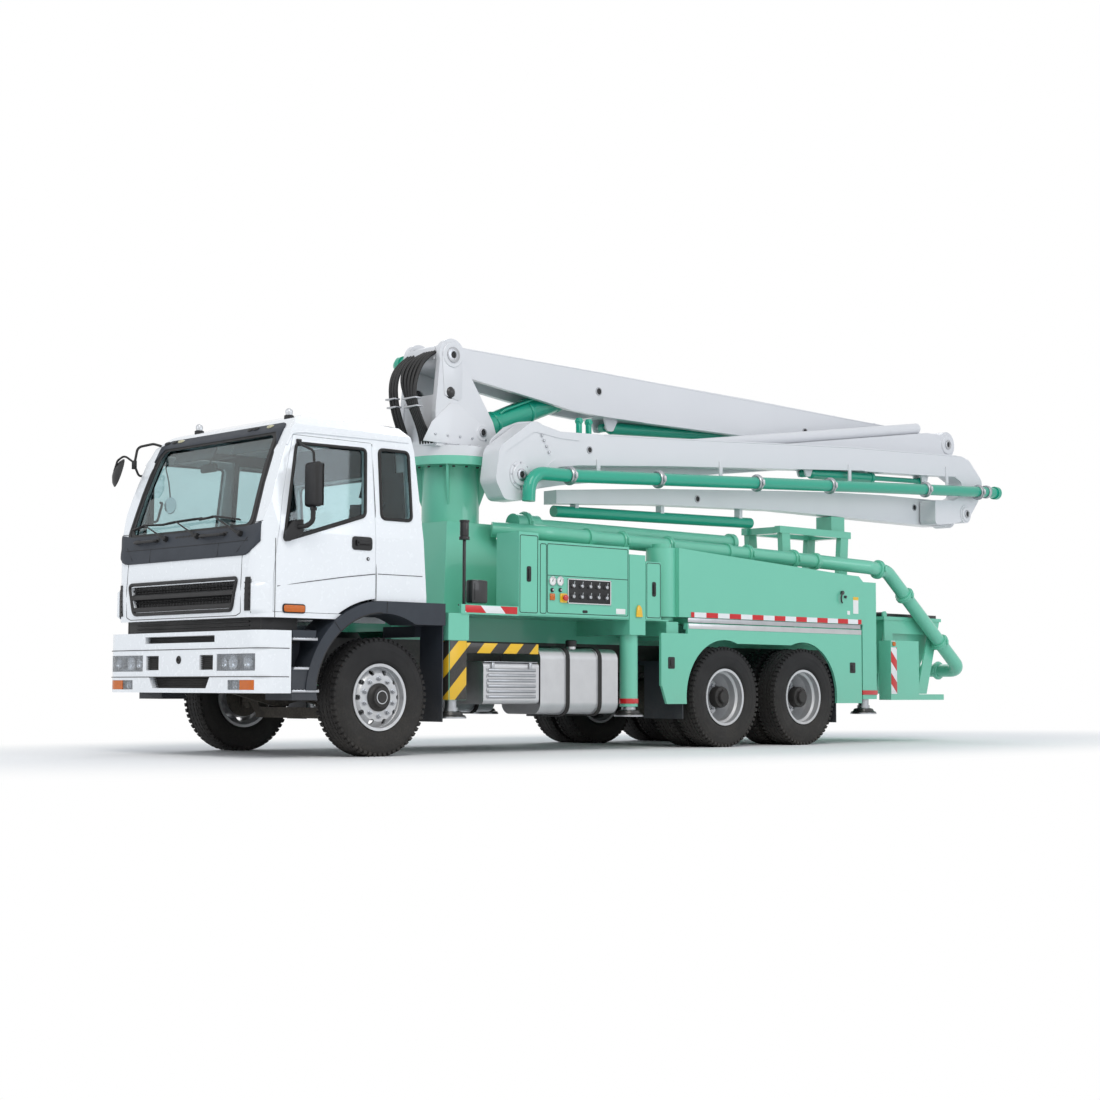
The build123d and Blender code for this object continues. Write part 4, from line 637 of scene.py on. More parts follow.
def light_studio():
    """A pale sky that the camera sees as white, and four soft lamps."""
    world = bpy.data.worlds.new("studio")
    bpy.context.scene.world = world
    world.use_nodes = True
    tree = world.node_tree
    tree.nodes.clear()
    light, seen = (add(tree, "Background", Color=tint(*c), Strength=s)
                   for c, s in (((236, 242, 250), 0.62), ((255, 255, 255), 1.0)))
    path = tree.nodes.new("ShaderNodeLightPath")
    shown = math_node(tree, "MAXIMUM", path.outputs["Is Camera Ray"], path.outputs["Is Transmission Ray"])
    glossy = math_node(tree, "MULTIPLY", path.outputs["Is Glossy Ray"], 0.8)
    blend = tree.nodes.new("ShaderNodeMixShader")
    tree.links.new(math_node(tree, "MAXIMUM", shown, glossy), blend.inputs[0])
    tree.links.new(light.outputs[0], blend.inputs[1])
    tree.links.new(seen.outputs[0], blend.inputs[2])
    out = tree.nodes.new("ShaderNodeOutputWorld")
    tree.links.new(blend.outputs[0], out.inputs[0])

    lamps = [
        ("key", (16, -14, 20), 12.0, 2300, (255, 252, 246)),
        ("fill", (22, 6, 9), 10.0, 900, (240, 246, 255)),
        ("front", (-4, -24, 10), 10.0, 700, (246, 250, 255)),
        ("back", (-14, 12, 16), 12.0, 900, (250, 252, 255)),
    ]
    for name, spot, width, power, colour in lamps:
        bpy.ops.object.light_add(type="AREA", location=spot)
        lamp = bpy.context.object
        lamp.name = name
        lamp.data.size = width
        lamp.data.energy = power
        lamp.data.color = tint(*colour)[:3]
        lamp.rotation_euler = (Vector((0, 0, 1.5)) - Vector(spot)).to_track_quat("-Z", "Y").to_euler()


def lay_floor():
    """A white floor that takes the truck's shadow and fades into the white round it."""
    free_hands()
    bpy.ops.mesh.primitive_circle_add(vertices=64, radius=120, fill_type="NGON", location=(0, 0, 0))
    floor = settle(bpy.context.object, "floor")
    finish, tree, shader, place = start_finish("studio floor")
    soft = add(tree, "TexNoise", Vector=place, Scale=0.3)
    tone = mixed(tree, soft.outputs[0], (0.9, 0.9, 0.9, 1), (0.93, 0.93, 0.93, 1))
    wire(tree, shader, Base_Color=tone, Roughness=0.9)
    oval = add(tree, "VectorMath", {"operation": "MULTIPLY"}, _0=place, _1=(1.0, 0.4, 1.0))
    reach = add(tree, "VectorMath", {"operation": "LENGTH"}, _0=oval.outputs[0]).outputs["Value"]
    far = add(tree, "MapRange", {"interpolation_type": "SMOOTHSTEP"}, Value=reach, From_Min=2.4, From_Max=5.0)
    path = tree.nodes.new("ShaderNodeLightPath")
    shown = math_node(tree, "MAXIMUM", path.outputs["Is Camera Ray"], path.outputs["Is Transmission Ray"])
    shown = math_node(tree, "MAXIMUM", shown, path.outputs["Is Glossy Ray"])
    white = tree.nodes.new("ShaderNodeEmission")
    blend = tree.nodes.new("ShaderNodeMixShader")
    tree.links.new(math_node(tree, "MULTIPLY", far.outputs[0], shown), blend.inputs[0])
    tree.links.new(shader.outputs[0], blend.inputs[1])
    tree.links.new(white.outputs[0], blend.inputs[2])
    tree.links.new(blend.outputs[0], tree.nodes["Material Output"].inputs[0])
    finished(floor, finish)


# ---- wheels ------------------------------------------------------------------------------
BEAD_RADIUS = 0.2865
SHOULDER_BLOCKS = 58
RIB_BLOCKS = 64


def tyre(rim_x, station):
    """A radial truck tyre on the rim whose outer flange is at rim_x."""
    middle = rim_x - RIM_WIDTH / 2
    hub = at(0, station, HUB_Z)
    half = [
        (0.109, BEAD_RADIUS), (0.1095, 0.302), (0.120, 0.309), (0.1315, 0.322),
        (0.133, 0.327), (0.1365, 0.330), (0.1455, 0.366), (0.146, 0.392),
        (0.1435, 0.425), (0.1445, 0.430), (0.1425, 0.437), (0.1385, 0.462),
        (0.132, 0.486), (0.121, 0.506), (0.1135, 0.5135), (0.098, 0.5145),
    ]
    tread = []
    for inner, outer in ((0.078, 0.066), (0.036, 0.024)):
        tread += [(inner, 0.5235), (inner - 0.002, 0.511), (outer + 0.002, 0.511), (outer, 0.5245)]
    half += [(0.097, 0.5215)] + tread
    profile = [(middle + x, r) for x, r in half] + [(middle - x, r) for x, r in reversed(half)]
    carcass = turned(profile, hub, (1, 0, 0), steps=72)
    # shoulder blocks over the tread's edge, and three rows of small blocks between them
    block = loose_box(0.048, 0.033, 0.03, edge=0.0022)
    lugs = []
    for side in (1, -1):
        lug = copy_of(block, Matrix.Translation(at(middle + side * 0.1075, station, HUB_Z + 0.4985))
                      @ Matrix.Rotation(side * math.radians(16), 4, "Y"))
        lugs.append(ringed(lug, SHOULDER_BLOCKS, hub, (1, 0, 0)))
    rib = loose_box(0.043, 0.037, 0.012, edge=0.0015)
    for x in (-0.051, 0.0, 0.051):
        lug = copy_of(rib, Matrix.Translation(at(middle + x, station, HUB_Z + 0.5128))
                      @ Matrix.Rotation(0.3, 4, "Z"))
        lugs.append(ringed(lug, RIB_BLOCKS, hub, (1, 0, 0)))
    for spare in (block, rib):
        bpy.data.objects.remove(spare)
    return finished([carcass] + lugs, TREAD)


def wheel_nuts(x, station, radius, side, count=10, size=0.019):
    """Wheel nuts with their studs and washers, on a circle round the hub."""
    hub = at(0, station, HUB_Z)
    foot = hub + Vector((side * x, 0, radius))
    out = Vector((side, 0, 0))
    nut = [bar(foot - out * 0.004, foot + out * 0.004, size * 1.35, edge=0.001, sides=20)]
    nut.append(bar(foot, foot + out * 0.026, size, edge=0.002, sides=6))
    nut.append(bar(foot, foot + out * 0.038, size * 0.52, edge=0.0015, sides=12))
    return ringed(joined("nut", finished(nut, STEEL)), count, hub, (1, 0, 0))


def front_wheel(hand, side):
    """Front wheel: nuts, hub cap with its bolts, and the valve."""
    hub = at(0, FRONT_AXLE, HUB_Z)
    out = Vector((side, 0, 0))
    nuts = wheel_nuts(FRONT_RIM_X - 0.022, FRONT_AXLE, 0.167, side)
    cap = turned([(0.036, 0.0), (0.036, 0.05), (0.03, 0.058), (0.02, 0.062), (0.018, 0.078), (0.006, 0.082),
                  (0.004, 0.0)],
                 hub + out * FRONT_RIM_X, out, steps=40)
    ring = ringed(joined("cap bolts", bolts([hub + Vector((side * (FRONT_RIM_X + 0.018), 0, 0.07))], out,
                                            0.007, 0.007)), 6, hub, (1, 0, 0))
    lip = turned([(-0.020, 0.100), (-0.020, 0.118), (-0.012, 0.121), (-0.008, 0.112), (-0.010, 0.100)],
                 hub + out * FRONT_RIM_X, out, steps=56)
    stem = bar(hub + Vector((side * (FRONT_RIM_X - 0.055), 0.09, 0.236)),
               hub + Vector((side * (FRONT_RIM_X - 0.01), 0.083, 0.218)), 0.0055, sides=12)
    drum = turned([(-0.019, 0.060), (-0.019, 0.126), (-0.010, 0.126), (-0.004, 0.110), (0.010, 0.094),
                   (0.030, 0.088), (0.033, 0.060)],
                  hub + out * FRONT_RIM_X, out, steps=48)
    finish_each(([cap, ring, drum], BLACK_PLASTIC), ([lip, stem], STEEL))
    fit(f"front_wheel_nuts_{hand}", [nuts, cap, ring, drum, lip, stem], f"wheel_front_{hand}")
    fit(f"front_tyre_{hand}",
        [p if side > 0 else mirrored_and_gone(p) for p in tyre(FRONT_RIM_X, FRONT_AXLE)],
        f"wheel_front_{hand}", replaces=(f"tyre_front_{hand}",))


def mirrored_and_gone(piece):
    """The piece's twin on the other side, in its stead."""
    twin = mirrored(piece)
    bpy.data.objects.remove(piece)
    return twin


def rear_wheels(number, station, hand, side):
    """Twin wheels: nuts deep in the outer dish, a long hub with its flange bolts, a black ring as painted
    shade in the hand holes, and both tyres.
    """
    hub = at(0, station, HUB_Z)
    out = Vector((side, 0, 0))
    seat = REAR_RIM_X - RIM_WIDTH - 0.014
    nuts = wheel_nuts(seat, station, 0.145, side, size=0.018)
    flange = turned([(-0.07, 0.0), (-0.07, 0.113), (0.004, 0.113), (0.016, 0.108), (0.022, 0.072),
                     (0.05, 0.068), (0.056, 0.06), (0.056, 0.0)],
                    hub + out * (REAR_RIM_X - 0.058), out, steps=44)
    ring = ringed(joined("hub bolts", bolts([hub + Vector((side * (REAR_RIM_X - 0.042), 0, 0.083))], out,
                                            0.008, 0.009)), 8, hub, (1, 0, 0))
    # a thin black ring just inside the rim, seen only through its hand holes: painted shade in the holes,
    # standing for the dark drum behind them
    drum = turned([(-0.034, 0.15), (-0.034, 0.212), (-0.0275, 0.212), (-0.0275, 0.15)],
                  hub + out * (seat - 0.014), out, steps=48)
    finished([flange, ring, drum], BLACK_PLASTIC)
    fit(f"rear_wheel_nuts_{number}_{hand}", [nuts, flange, ring, drum], f"wheels_rear_{number}_{hand}")
    pair = tyre(REAR_RIM_X, station) + tyre(REAR_RIM_X - DUAL_GAP, station)
    if side < 0:
        pair = [mirrored_and_gone(p) for p in pair]
    fit(f"rear_tyres_{number}_{hand}", pair, f"wheels_rear_{number}_{hand}",
        replaces=(f"tyres_rear_{number}_{hand}",))


def make_wheels():
    for hand, side in HANDS:
        front_wheel(hand, side)
        for number, station in enumerate(REAR_AXLES, 1):
            rear_wheels(number, station, hand, side)


# ---- cab ---------------------------------------------------------------------------------
CAB_FRONT = ((1.2, 0.020), (1.42, 0.012), (1.70, 0.025), (1.83, 0.040), (2.03, 0.090), (2.37, 0.195),
             (2.665, 0.305), (2.86, 0.400), (2.97, 0.520), (3.05, 0.78))
CAB_WIDE = ((1.19, 1.195), (1.95, 1.195), (2.76, 1.12), (2.90, 1.08), (2.99, 0.95), (3.055, 0.70))
NOSE_CORNER = 0.25


def read_off(table, z):
    """The value of a table at a height."""
    for (low, first), (high, second) in zip(table, table[1:]):
        if z <= high:
            return first + (second - first) * (max(z, low) - low) / (high - low)
    return table[-1][1]


def cab_nose(x, z, off=0.0):
    """A place on the cab's front, off metres ahead of the skin."""
    past = min(max(abs(x) - 0.945, 0.0), NOSE_CORNER - 0.002)
    round_off = 0.26 - math.sqrt(NOSE_CORNER ** 2 - past ** 2)
    return at(x, max(read_off(CAB_FRONT, z), round_off) - off, z)


def cab_cheek(station, z, off=0.0, side=LEFT):
    """A place on the cab's side, off metres outside the skin."""
    half = read_off(CAB_WIDE, z)
    if station < 0.26:
        half = min(half, 0.945 + math.sqrt(max(NOSE_CORNER ** 2 - (0.26 - station) ** 2, 0.0)))
    return at(side * (half + off), station, z)


def cab_back(x, z, off=0.0):
    """A place on the cab's leaning back wall, off metres behind it."""
    return at(x, 1.745 + 0.105 * (2.88 - z) / 1.45 + off, z)


def skin(rows, thick=0.004, edge=0.0, smooth=50):
    """A sheet through rows of places, thick metres deep, on the side its rows turn to."""
    free_hands()
    wide, tall = len(rows[0]), len(rows)
    bpy.ops.mesh.primitive_grid_add(x_subdivisions=wide - 1, y_subdivisions=tall - 1)
    piece = bpy.context.object
    for corner, place in zip(piece.data.vertices, [p for row in rows for p in row]):
        corner.co = place
    with editing(settle(piece)):
        bpy.ops.mesh.remove_doubles(threshold=0.00005)
        bpy.ops.mesh.normals_make_consistent(inside=False)
    if thick:
        apply(piece, "SOLIDIFY", thickness=thick, offset=0.0)
    return soften(piece, edge, angle=smooth)


def steps_between(low, high, count):
    return [low + (high - low) * n / count for n in range(count + 1)]


def laid_on(place, across, up, off, side=LEFT):
    """Rows of places on a curved face: one row for each across, one place for each up."""
    return [[place(side * x, z, off) for z in up] for x in across]


def round_outline(points, radius, steps=5):
    """A flat outline with its corners rounded, as (across, up) points."""
    route = []
    total = len(points)
    for n in range(total):
        corner = Vector(points[n])
        back, on = Vector(points[n - 1]) - corner, Vector(points[(n + 1) % total]) - corner
        reach = min(radius, back.length * 0.45, on.length * 0.45)
        first, last = corner + back.normalized() * reach, corner + on.normalized() * reach
        for step in range(steps + 1):
            share = step / steps
            route.append(first.lerp(corner, share).lerp(corner.lerp(last, share), share))
    return route


def rectangle(station, z, radius=0.0, steps=3):
    """A rectangle between (low, high) pairs, its corners rounded in steps when a radius is given."""
    corners = [(station[0], z[0]), (station[1], z[0]), (station[1], z[1]), (station[0], z[1])]
    return [tuple(p) for p in round_outline(corners, radius, steps)] if radius else corners


def filled_in(points, longest=0.12):
    """An outline's points with more between them where they stand far apart."""
    route = []
    for first, second in zip(points, points[1:] + points[:1]):
        count = max(1, int((second - first).length / longest))
        route += [first.lerp(second, n / count) for n in range(count)]
    return route


WINDSCREEN = ((-0.985, 1.995), (0.985, 1.995), (0.925, 2.835), (-0.925, 2.835))
DOOR_WINDOW = ((0.262, 1.86), (1.15, 2.13), (1.19, 2.735), (0.432, 2.725))
QUARTER_WINDOW = ((1.335, 2.12), (1.681, 2.12), (1.681, 2.75), (1.342, 2.75))


def grown(points, by):
    """A convex outline grown by a distance from its middle."""
    middle = Vector((sum(p[0] for p in points) / len(points), sum(p[1] for p in points) / len(points)))
    return [Vector(p) + (Vector(p) - middle).normalized() * by for p in points]


def make_screen():
    """The seal and black printed border round the windscreen, with the panel and visor it meets; black sheets
    behind the grille and under the cab are painted shade.
    """
    rows = []
    for grow, off in ((-0.045, 0.001), (0.0, 0.0015), (0.034, 0.002), (0.05, 0.0)):
        ring = round_outline(grown(WINDSCREEN, grow), 0.075, 6)
        line = []
        for first, second in zip(ring, ring[1:] + ring[:1]):
            line += [first.lerp(second, n / 4) for n in range(4)]
        rows.append([cab_nose(p.x, p.y, off) for p in line + line[:1]])
    border = skin(rows, 0.006)
    trim("windscreen_border", [border])
    ring = filled_in(round_outline(grown(WINDSCREEN, 0.012), 0.07))
    trim("windscreen_seal", [seal([cab_nose(p.x, p.y, 0.004) for p in ring], 0.008)], RUBBER)
    # the dark panel under the screen and the visor over it, each one sheet from corner to corner
    rows = []
    for x in steps_between(-1.12, 1.12, 44):
        past = max(abs(x) - 0.93, 0) / 0.19
        low, high = 1.737 + 0.115 * past ** 2.2, 1.990 + 0.03 * past
        rows += laid_on(cab_nose, [x], steps_between(low, high, 8), 0.006)
    panel = skin(rows, 0.013, 0.002)
    rows = []
    for x in steps_between(-0.985, 0.985, 44):
        past = max(abs(x) - 0.9, 0) / 0.085
        low, high = 2.838 - 0.12 * past, 2.925 - 0.055 * past ** 2
        rows += laid_on(cab_nose, [x], steps_between(low, high, 5), 0.006)
    visor = skin(rows, 0.015, 0.002)
    # a black sheet just behind the grille's mesh: painted shade in the grille's recess
    floor = [[cab_nose(x, z, -0.034) for x in steps_between(-half, half, 24)]
             for z, half in ((1.275, 0.785), (1.545, 0.86))]
    back = finished(skin(floor, 0.004), BLACK_PLASTIC)
    finished([panel, visor], GREY_PLASTIC)
    fit("cab_front_trim_and_grille_shade", [panel, visor, back], "chassis", replaces=["cab_trim"])
    # black boxes and bars filling the gap under the cab's front: painted shade of its dark underside
    under = [box((-1.06, 1.06), (0.13, 0.15), (0.985, 1.25), 0.004)]
    under += both_sides([box((1.05, 1.08), (0.13, 0.50), (0.985, 1.23), 0.004)])
    under += [box((-0.9, 0.9), (0.118, 0.132), (1.10 + 0.034 * n, 1.112 + 0.034 * n), 0.002, 1)
              for n in range(3)]
    trim("under_cab_shade_panel", under)
    # marker lamps and their feet in the visor
    ovals, cream = [], []
    for x, pieces in ((-0.93, ovals), (-0.80, ovals), (0.436, ovals), (0.52, ovals), (0.733, cream),
                      (-0.70, cream)):
        middle = cab_nose(x, 2.905, 0.018)
        oval = turned([(0, 0), (0.014, 0.006), (0.016, 0.02), (0.006, 0.034), (-0.006, 0.036), (-0.006, 0)],
                      middle, (0, -0.9, 0.42), 24)
        oval.data.transform(Matrix.Translation(middle) @ Matrix.Diagonal((1.35, 1, 0.55, 1))
                            @ Matrix.Translation(-middle))
        pieces.append(oval)
    trim("visor_lamps", ovals)
    fit("visor_markers", cream, "chassis", CREAM_LENS)


def make_wipers():
    """Three wipers on their spindles, and the vents, grips and seams of the panel under them."""
    pivots = ((-0.323, 1.945), (0.185, 1.944), (0.86, 1.928))
    blades = (((-0.949, 2.066), (-0.729, 2.099), (-0.432, 2.087)),
              ((-0.453, 2.088), (-0.204, 2.101), (0.199, 2.109)),
              ((0.14, 2.097), (0.396, 2.113), (0.80, 2.059)))
    arms, rubbers = [], []
    for (px, pz), blade in zip(pivots, blades):
        root = cab_nose(px, pz, 0.02)
        arms.append(turned([(0, 0), (0.03, 0.004), (0.034, 0.014), (0.026, 0.024), (-0.018, 0.028),
                            (-0.018, 0)],
                           root, (0, -0.94, 0.34), 24))
        middle = cab_nose(blade[1][0], blade[1][1], 0.045)
        knee = root.lerp(middle, 0.35) + Vector((0, -0.022, 0.006))
        arms.append(bar(root + Vector((0, -0.018, 0)), knee, 0.014, sides=12, cone=0.010))
        arms.append(bar(knee, middle, 0.008, sides=10, cone=0.006))
        route = [cab_nose(x, z, 0.026) for x, z in blade]
        for first, second in zip(route, route[1:]):
            arms.append(bar(first, second, 0.007, sides=8))
        rubbers.append(pipe([p + Vector((0, 0.014, -0.006)) for p in route], 0.006, sides=3))
        for share in (0.15, 0.85):
            spot = route[0].lerp(route[2], share)
            arms.append(bar(middle, spot + Vector((0, -0.006, 0.004)), 0.005, sides=8))
    trim("wiper_arms", arms)
    trim("wiper_blades", rubbers, RUBBER)
    grips = []
    for low, high in ((-0.82, -0.469), (0.264, 0.614)):
        line = [cab_nose(low, 1.935, -0.01), cab_nose(low, 1.935, 0.05), cab_nose(high, 1.935, 0.05),
                cab_nose(high, 1.935, -0.01)]
        grips.append(pipe(line, 0.013, bend=0.03))
        for x in (low, high):
            grips.append(box((x - 0.035, x + 0.035), (0.05, 0.075), (1.91, 1.96), 0.008))
    for n in range(7):
        x = -0.16 + 0.05 * n
        middle = cab_nose(x, 1.945, 0.008)
        grips.append(box((x - 0.02, x + 0.02),
                         (middle.y + HALF_LENGTH - 0.006, middle.y + HALF_LENGTH + 0.014), (1.93, 1.96),
                         0.004, 1))
    trim("cab_front_grips", grips)
    lines = []
    for points in (((0.55, 1.738), (0.55, 1.86)), ((-0.55, 1.738), (-0.55, 1.86)),
                   ((-0.99, 1.865), (-0.6, 1.862), (0.6, 1.862), (0.99, 1.865)),
                   ((0.846, 1.769), (0.975, 1.893)), ((-0.846, 1.769), (-0.975, 1.893))):
        lines.append(seam([cab_nose(x, z, 0.0145) for x, z in points], 0.0022))
    trim("screen_panel_seams", lines)


def make_grille():
    """Louvre slats and mesh across the grille, its rim, and the seam round the front panel."""
    slats = []
    for z, deep, tall in ((1.423, 0.012, 0.030), (1.31, 0.014, 0.026), (1.485, -0.014, 0.008),
                          (1.372, -0.014, 0.008), (1.455, -0.02, 0.006)):
        half = 0.772 + 0.08 * (z - 1.27) / 0.275
        rows = []
        for x in steps_between(-half, half, 20):
            rows.append([cab_nose(x, z + up, out) for up, out in
                         ((tall, -0.030), (tall * 0.8, deep - 0.012), (0.0, deep),
                          (-tall * 0.6, deep - 0.004), (-tall, -0.030))])
        slats.append(skin(rows, 0.003))
    trim("grille_slats", slats)
    mesh = []
    for n in range(31):
        x = -0.78 + 1.56 * n / 30
        mesh.append(skin(laid_on(cab_nose, (x - 0.003, x + 0.003), (1.285, 1.53), -0.024), 0.006))
    trim("grille_mesh", mesh)
    rim = filled_in(round_outline([(-0.79, 1.27), (0.79, 1.27), (0.87, 1.545), (-0.87, 1.545)], 0.045))
    trim("grille_rim", [seal([cab_nose(p.x, p.y, 0.004) for p in rim], 0.016)])
    shut = [(-0.92, 1.735), (-0.925, 1.5), (-0.92, 1.245), (-0.85, 1.222), (0.85, 1.222), (0.92, 1.245),
            (0.925, 1.5), (0.92, 1.735)]
    lines = [seam([cab_nose(x, z, 0.001) for x, z in shut], 0.003)]
    trim("front_panel_seam", lines)


def make_corner_vents():
    """Dark inlet slits and raised wind deflectors at the cab's front corners."""
    slits, horns, lines = [], [], []
    for side in SIDES:
        rows = []
        for z in steps_between(1.26, 1.548, 6):
            inner = 0.985 + 0.012 * (z - 1.26) / 0.288
            rows.append([cab_nose(side * x, z, 0.005) for x in steps_between(inner, 1.047, 5)])
        slits.append(skin(rows, 0.008))
        for n in range(5):
            z = 1.30 + 0.05 * n
            slits.append(skin([[cab_nose(side * x, z + d, 0.012) for x in steps_between(0.995, 1.040, 3)]
                               for d in (-0.006, 0.006)], 0.006))
        rows = []
        for share in steps_between(0, 1, 8):
            x = 1.062 + 0.108 * share
            swell = 0.036 * math.sin(math.pi * min(share * 1.15 + 0.05, 1)) ** 0.6 + 0.002
            low, high = 1.236 + 0.012 * share, 1.512 - 0.02 * share
            rows.append([cab_nose(side * x, z, swell * min(1, 12 * min(k, 1 - k) + 0.02)) for k, z in
                         zip(steps_between(0, 1, 12), steps_between(low, high, 12))])
        horns.append(skin(rows, 0.006, smooth=60))
        lines.append(seam([cab_nose(side * 1.052, z, 0.002) for z in (1.24, 1.4, 1.53)], 0.003))
        lines.append(seam([cab_cheek(0.186, z, 0.001, side) for z in (1.205, 1.6, 1.88)], 0.003))
        lines.append(seam([cab_nose(side * x, z, 0.001) for x, z in ((1.03, 2.02), (1.08, 2.023),
                                                                     (1.13, 2.028))], 0.003))
    trim("corner_slits", slits)
    fit("corner_deflectors", horns, "chassis", WHITE)
    trim("corner_seams", lines)


def make_gutters():
    """Drip rails over the doors, seams of the roof and back panel, and seals of the rear side windows."""
    rails, lines, seals = [], [], []
    for side in SIDES:
        route = [cab_cheek(0.325, 2.70, 0.004, side), cab_cheek(0.40, 2.815, 0.004, side),
                 cab_cheek(0.52, 2.832, 0.006, side),
                 cab_cheek(1.2, 2.842, 0.006, side), cab_cheek(1.70, 2.846, 0.004, side)]
        rails.append(pipe(route, 0.011, bend=0.06, sides=3))
        lines.append(seam([cab_cheek(1.268, z, 0.001, side) for z in (1.28, 1.6, 2.2, 2.79)], 0.0035))
        lines.append(seam([cab_cheek(s, 1.62, 0.001, side) for s in (1.285, 1.5, 1.8)], 0.003))
        ring = filled_in([Vector(p) for p in round_outline(QUARTER_WINDOW, 0.05)], 0.09)
        seals.append(seal([cab_cheek(p.x, p.y, 0.002, side) for p in ring], 0.015))
    fit("roof_gutters", rails, "chassis", WHITE)
    trim("back_panel_seams", lines)
    trim("rear_side_window_seals", seals, RUBBER)
    back = filled_in([Vector(p)
                      for p in round_outline([(-0.65, 2.14), (0.65, 2.14), (0.65, 2.56), (-0.65, 2.56)],
                                             0.07)], 0.2)

    trim("back_window_seal", [seal([cab_back(p.x, p.y, 0.004) for p in back], 0.014)], RUBBER)


def make_doors():
    """Seals, handles, locks, mouldings and inner cards of both doors."""
    for hand, side in HANDS:
        body = f"door_{hand}"
        ring = filled_in([Vector(p) for p in round_outline(DOOR_WINDOW, 0.045)], 0.08)
        dark = [seal([cab_cheek(p.x, p.y, 0.002, side) for p in ring], 0.015)]
        dark.append(pipe([cab_cheek(0.275, 1.875, 0.004, side), cab_cheek(1.14, 2.14, 0.004, side)], 0.012,
                         sides=3))
        trim(f"door_window_seal_{hand}", dark, RUBBER, body=body)
        # a dark line along the door's pressed groove: painted shade in the crease
        lines = [seam([cab_cheek(s, z, 0.001, side) for s, z in ((0.205, 1.471), (0.55, 1.524),
                                                                 (0.921, 1.578), (1.258, 1.618))], 0.0035)]
        trim(f"door_groove_shade_{hand}", lines, body=body)
        cup = [cab_cheek(*p, 0.003, side) for p in rectangle((0.993, 1.218), (1.823, 1.943), 0.035, 5)]
        handle = [plate(cup, Vector((side * 0.005, 0, 0)), 0.002)]
        handle.append(box((side * 1.203, side * 1.226), (1.03, 1.20), (1.872, 1.905), 0.009))
        handle.append(box((side * 1.196, side * 1.226), (1.03, 1.06), (1.862, 1.915), 0.008))
        handle.append(bar(at(side * 1.192, 1.173, 1.749), at(side * 1.203, 1.173, 1.749), 0.016))
        trim(f"door_handle_{hand}", handle, body=body)
        fit(f"door_lock_{hand}", [bar(at(side * 1.201, 1.173, 1.749), at(side * 1.206, 1.173, 1.749), 0.010)],
            body, STEEL)
        card = [side_plate([(0.33, 1.30), (0.62, 1.30), (0.72, 1.42), (1.12, 1.44), (1.22, 1.52),
                            (1.22, 2.06), (0.33, 1.80)], side * 1.098, side * 0.028, 0.008)]
        card.append(box((side * 1.04, side * 1.105), (0.62, 1.05), (1.66, 1.72), 0.02))
        fit(f"door_card_{hand}", card, body, CABIN)


def add_round_mirror(dark, glass):
    """The round mirror in front of the far side's corner, on two stalks."""
    centre = at(-1.26, 0.10, 2.63)
    axis = Vector((0.30, 0.80, -0.25)).normalized()
    dark.append(turned([(-0.045, 0), (-0.04, 0.06), (-0.02, 0.11), (0.004, 0.138), (0.012, 0.14),
                        (0.012, 0.13),
                        (0.0, 0.126), (0.0, 0)], centre, axis, 40))
    glass.append(turned([(0.002, 0), (0.002, 0.126), (0.006, 0.126), (0.016, 0.07), (0.019, 0)], centre, axis,
                        40))
    dark.append(pipe([at(-1.03, 0.425, 2.89), at(-1.07, 0.36, 2.91), at(-1.12, 0.22, 2.87),
                      at(-1.125, 0.19, 2.70)], 0.012, bend=0.07))
    dark.append(pipe([centre - axis * 0.04, at(-1.235, 0.075, 2.74), at(-1.19, 0.12, 2.79),
                      at(-1.125, 0.19, 2.72)], 0.010, bend=0.05))
    dark.append(pipe([at(-1.125, 0.19, 2.70), at(-1.14, 0.25, 2.60), at(-1.2, 0.40, 2.62),
                      at(-1.35, 0.457, 2.56), at(-1.35, 0.457, 2.5)], 0.011, bend=0.05))
    dark.append(bar(at(-1.125, 0.19, 2.66), at(-1.125, 0.19, 2.74), 0.024))


def make_mirrors():
    """Door mirrors with marker lamps and the far side's round mirror; they stand for door_trim."""
    for hand, side in HANDS:
        body = f"door_{hand}"
        x = side * 1.35
        shell = box((x - 0.095, x + 0.095), (0.415, 0.498), (2.154, 2.54), 0.034, 5)
        dark = [shell, box((x - 0.088, x + 0.088), (0.494, 0.502), (2.165, 2.529), 0.003)]
        foot = side_plate([(0.257, 1.862), (0.30, 1.855), (0.442, 1.93), (0.442, 2.056), (0.33, 2.04),
                           (0.262, 1.94)],
                          side * 1.19, side * 0.05, 0.012)
        dark.append(foot)
        arm = [at(side * 1.215, 0.38, 1.985), at(side * 1.30, 0.42, 1.99), at(x, 0.452, 2.03),
               at(x, 0.457, 2.20)]
        dark.append(pipe(arm, 0.022, bend=0.06))
        upper = [cab_cheek(0.455, 2.735, -0.01, side), at(side * 1.20, 0.44, 2.70), at(x, 0.455, 2.64),
                 at(x, 0.457, 2.50)]
        dark.append(pipe(upper, 0.011, bend=0.07, sides=4))
        dark.append(bar(at(x, 0.457, 2.15), at(x, 0.457, 2.125), 0.03))
        dark.append(box((side * 1.12, side * 1.14), (0.43, 0.48), (2.70, 2.76), 0.006))
        tell = rectangle((0.255, 0.495), (1.243, 1.324), 0.03, 5)
        dark.append(side_plate(tell, side * 1.1955, side * 0.008, 0.003))
        glass = [box((x - 0.078, x + 0.078), (0.5, 0.5035), (2.27, 2.518), 0.002),
                 box((x - 0.078, x + 0.078), (0.5, 0.5035), (2.178, 2.258), 0.002)]
        if side < 0:
            add_round_mirror(dark, glass)
        lamp = side_plate(rectangle((0.266, 0.484), (1.253, 1.314), 0.024, 5), side * 1.2, side * 0.013,
                          0.005)
        finish_each((dark, BLACK_PLASTIC), (glass, MIRROR), (lamp, AMBER_LENS))
        fit(f"door_mirror_{hand}", dark + glass + [lamp], body, replaces=[f"door_trim_{hand}"])


def slats(x, station, low, pitch, tall, count):
    """Thin level bars, one above another."""
    heights = [low + pitch * n for n in range(count)]
    return [box(x, station, (z, z + tall), 0.001, 1) for z in heights]


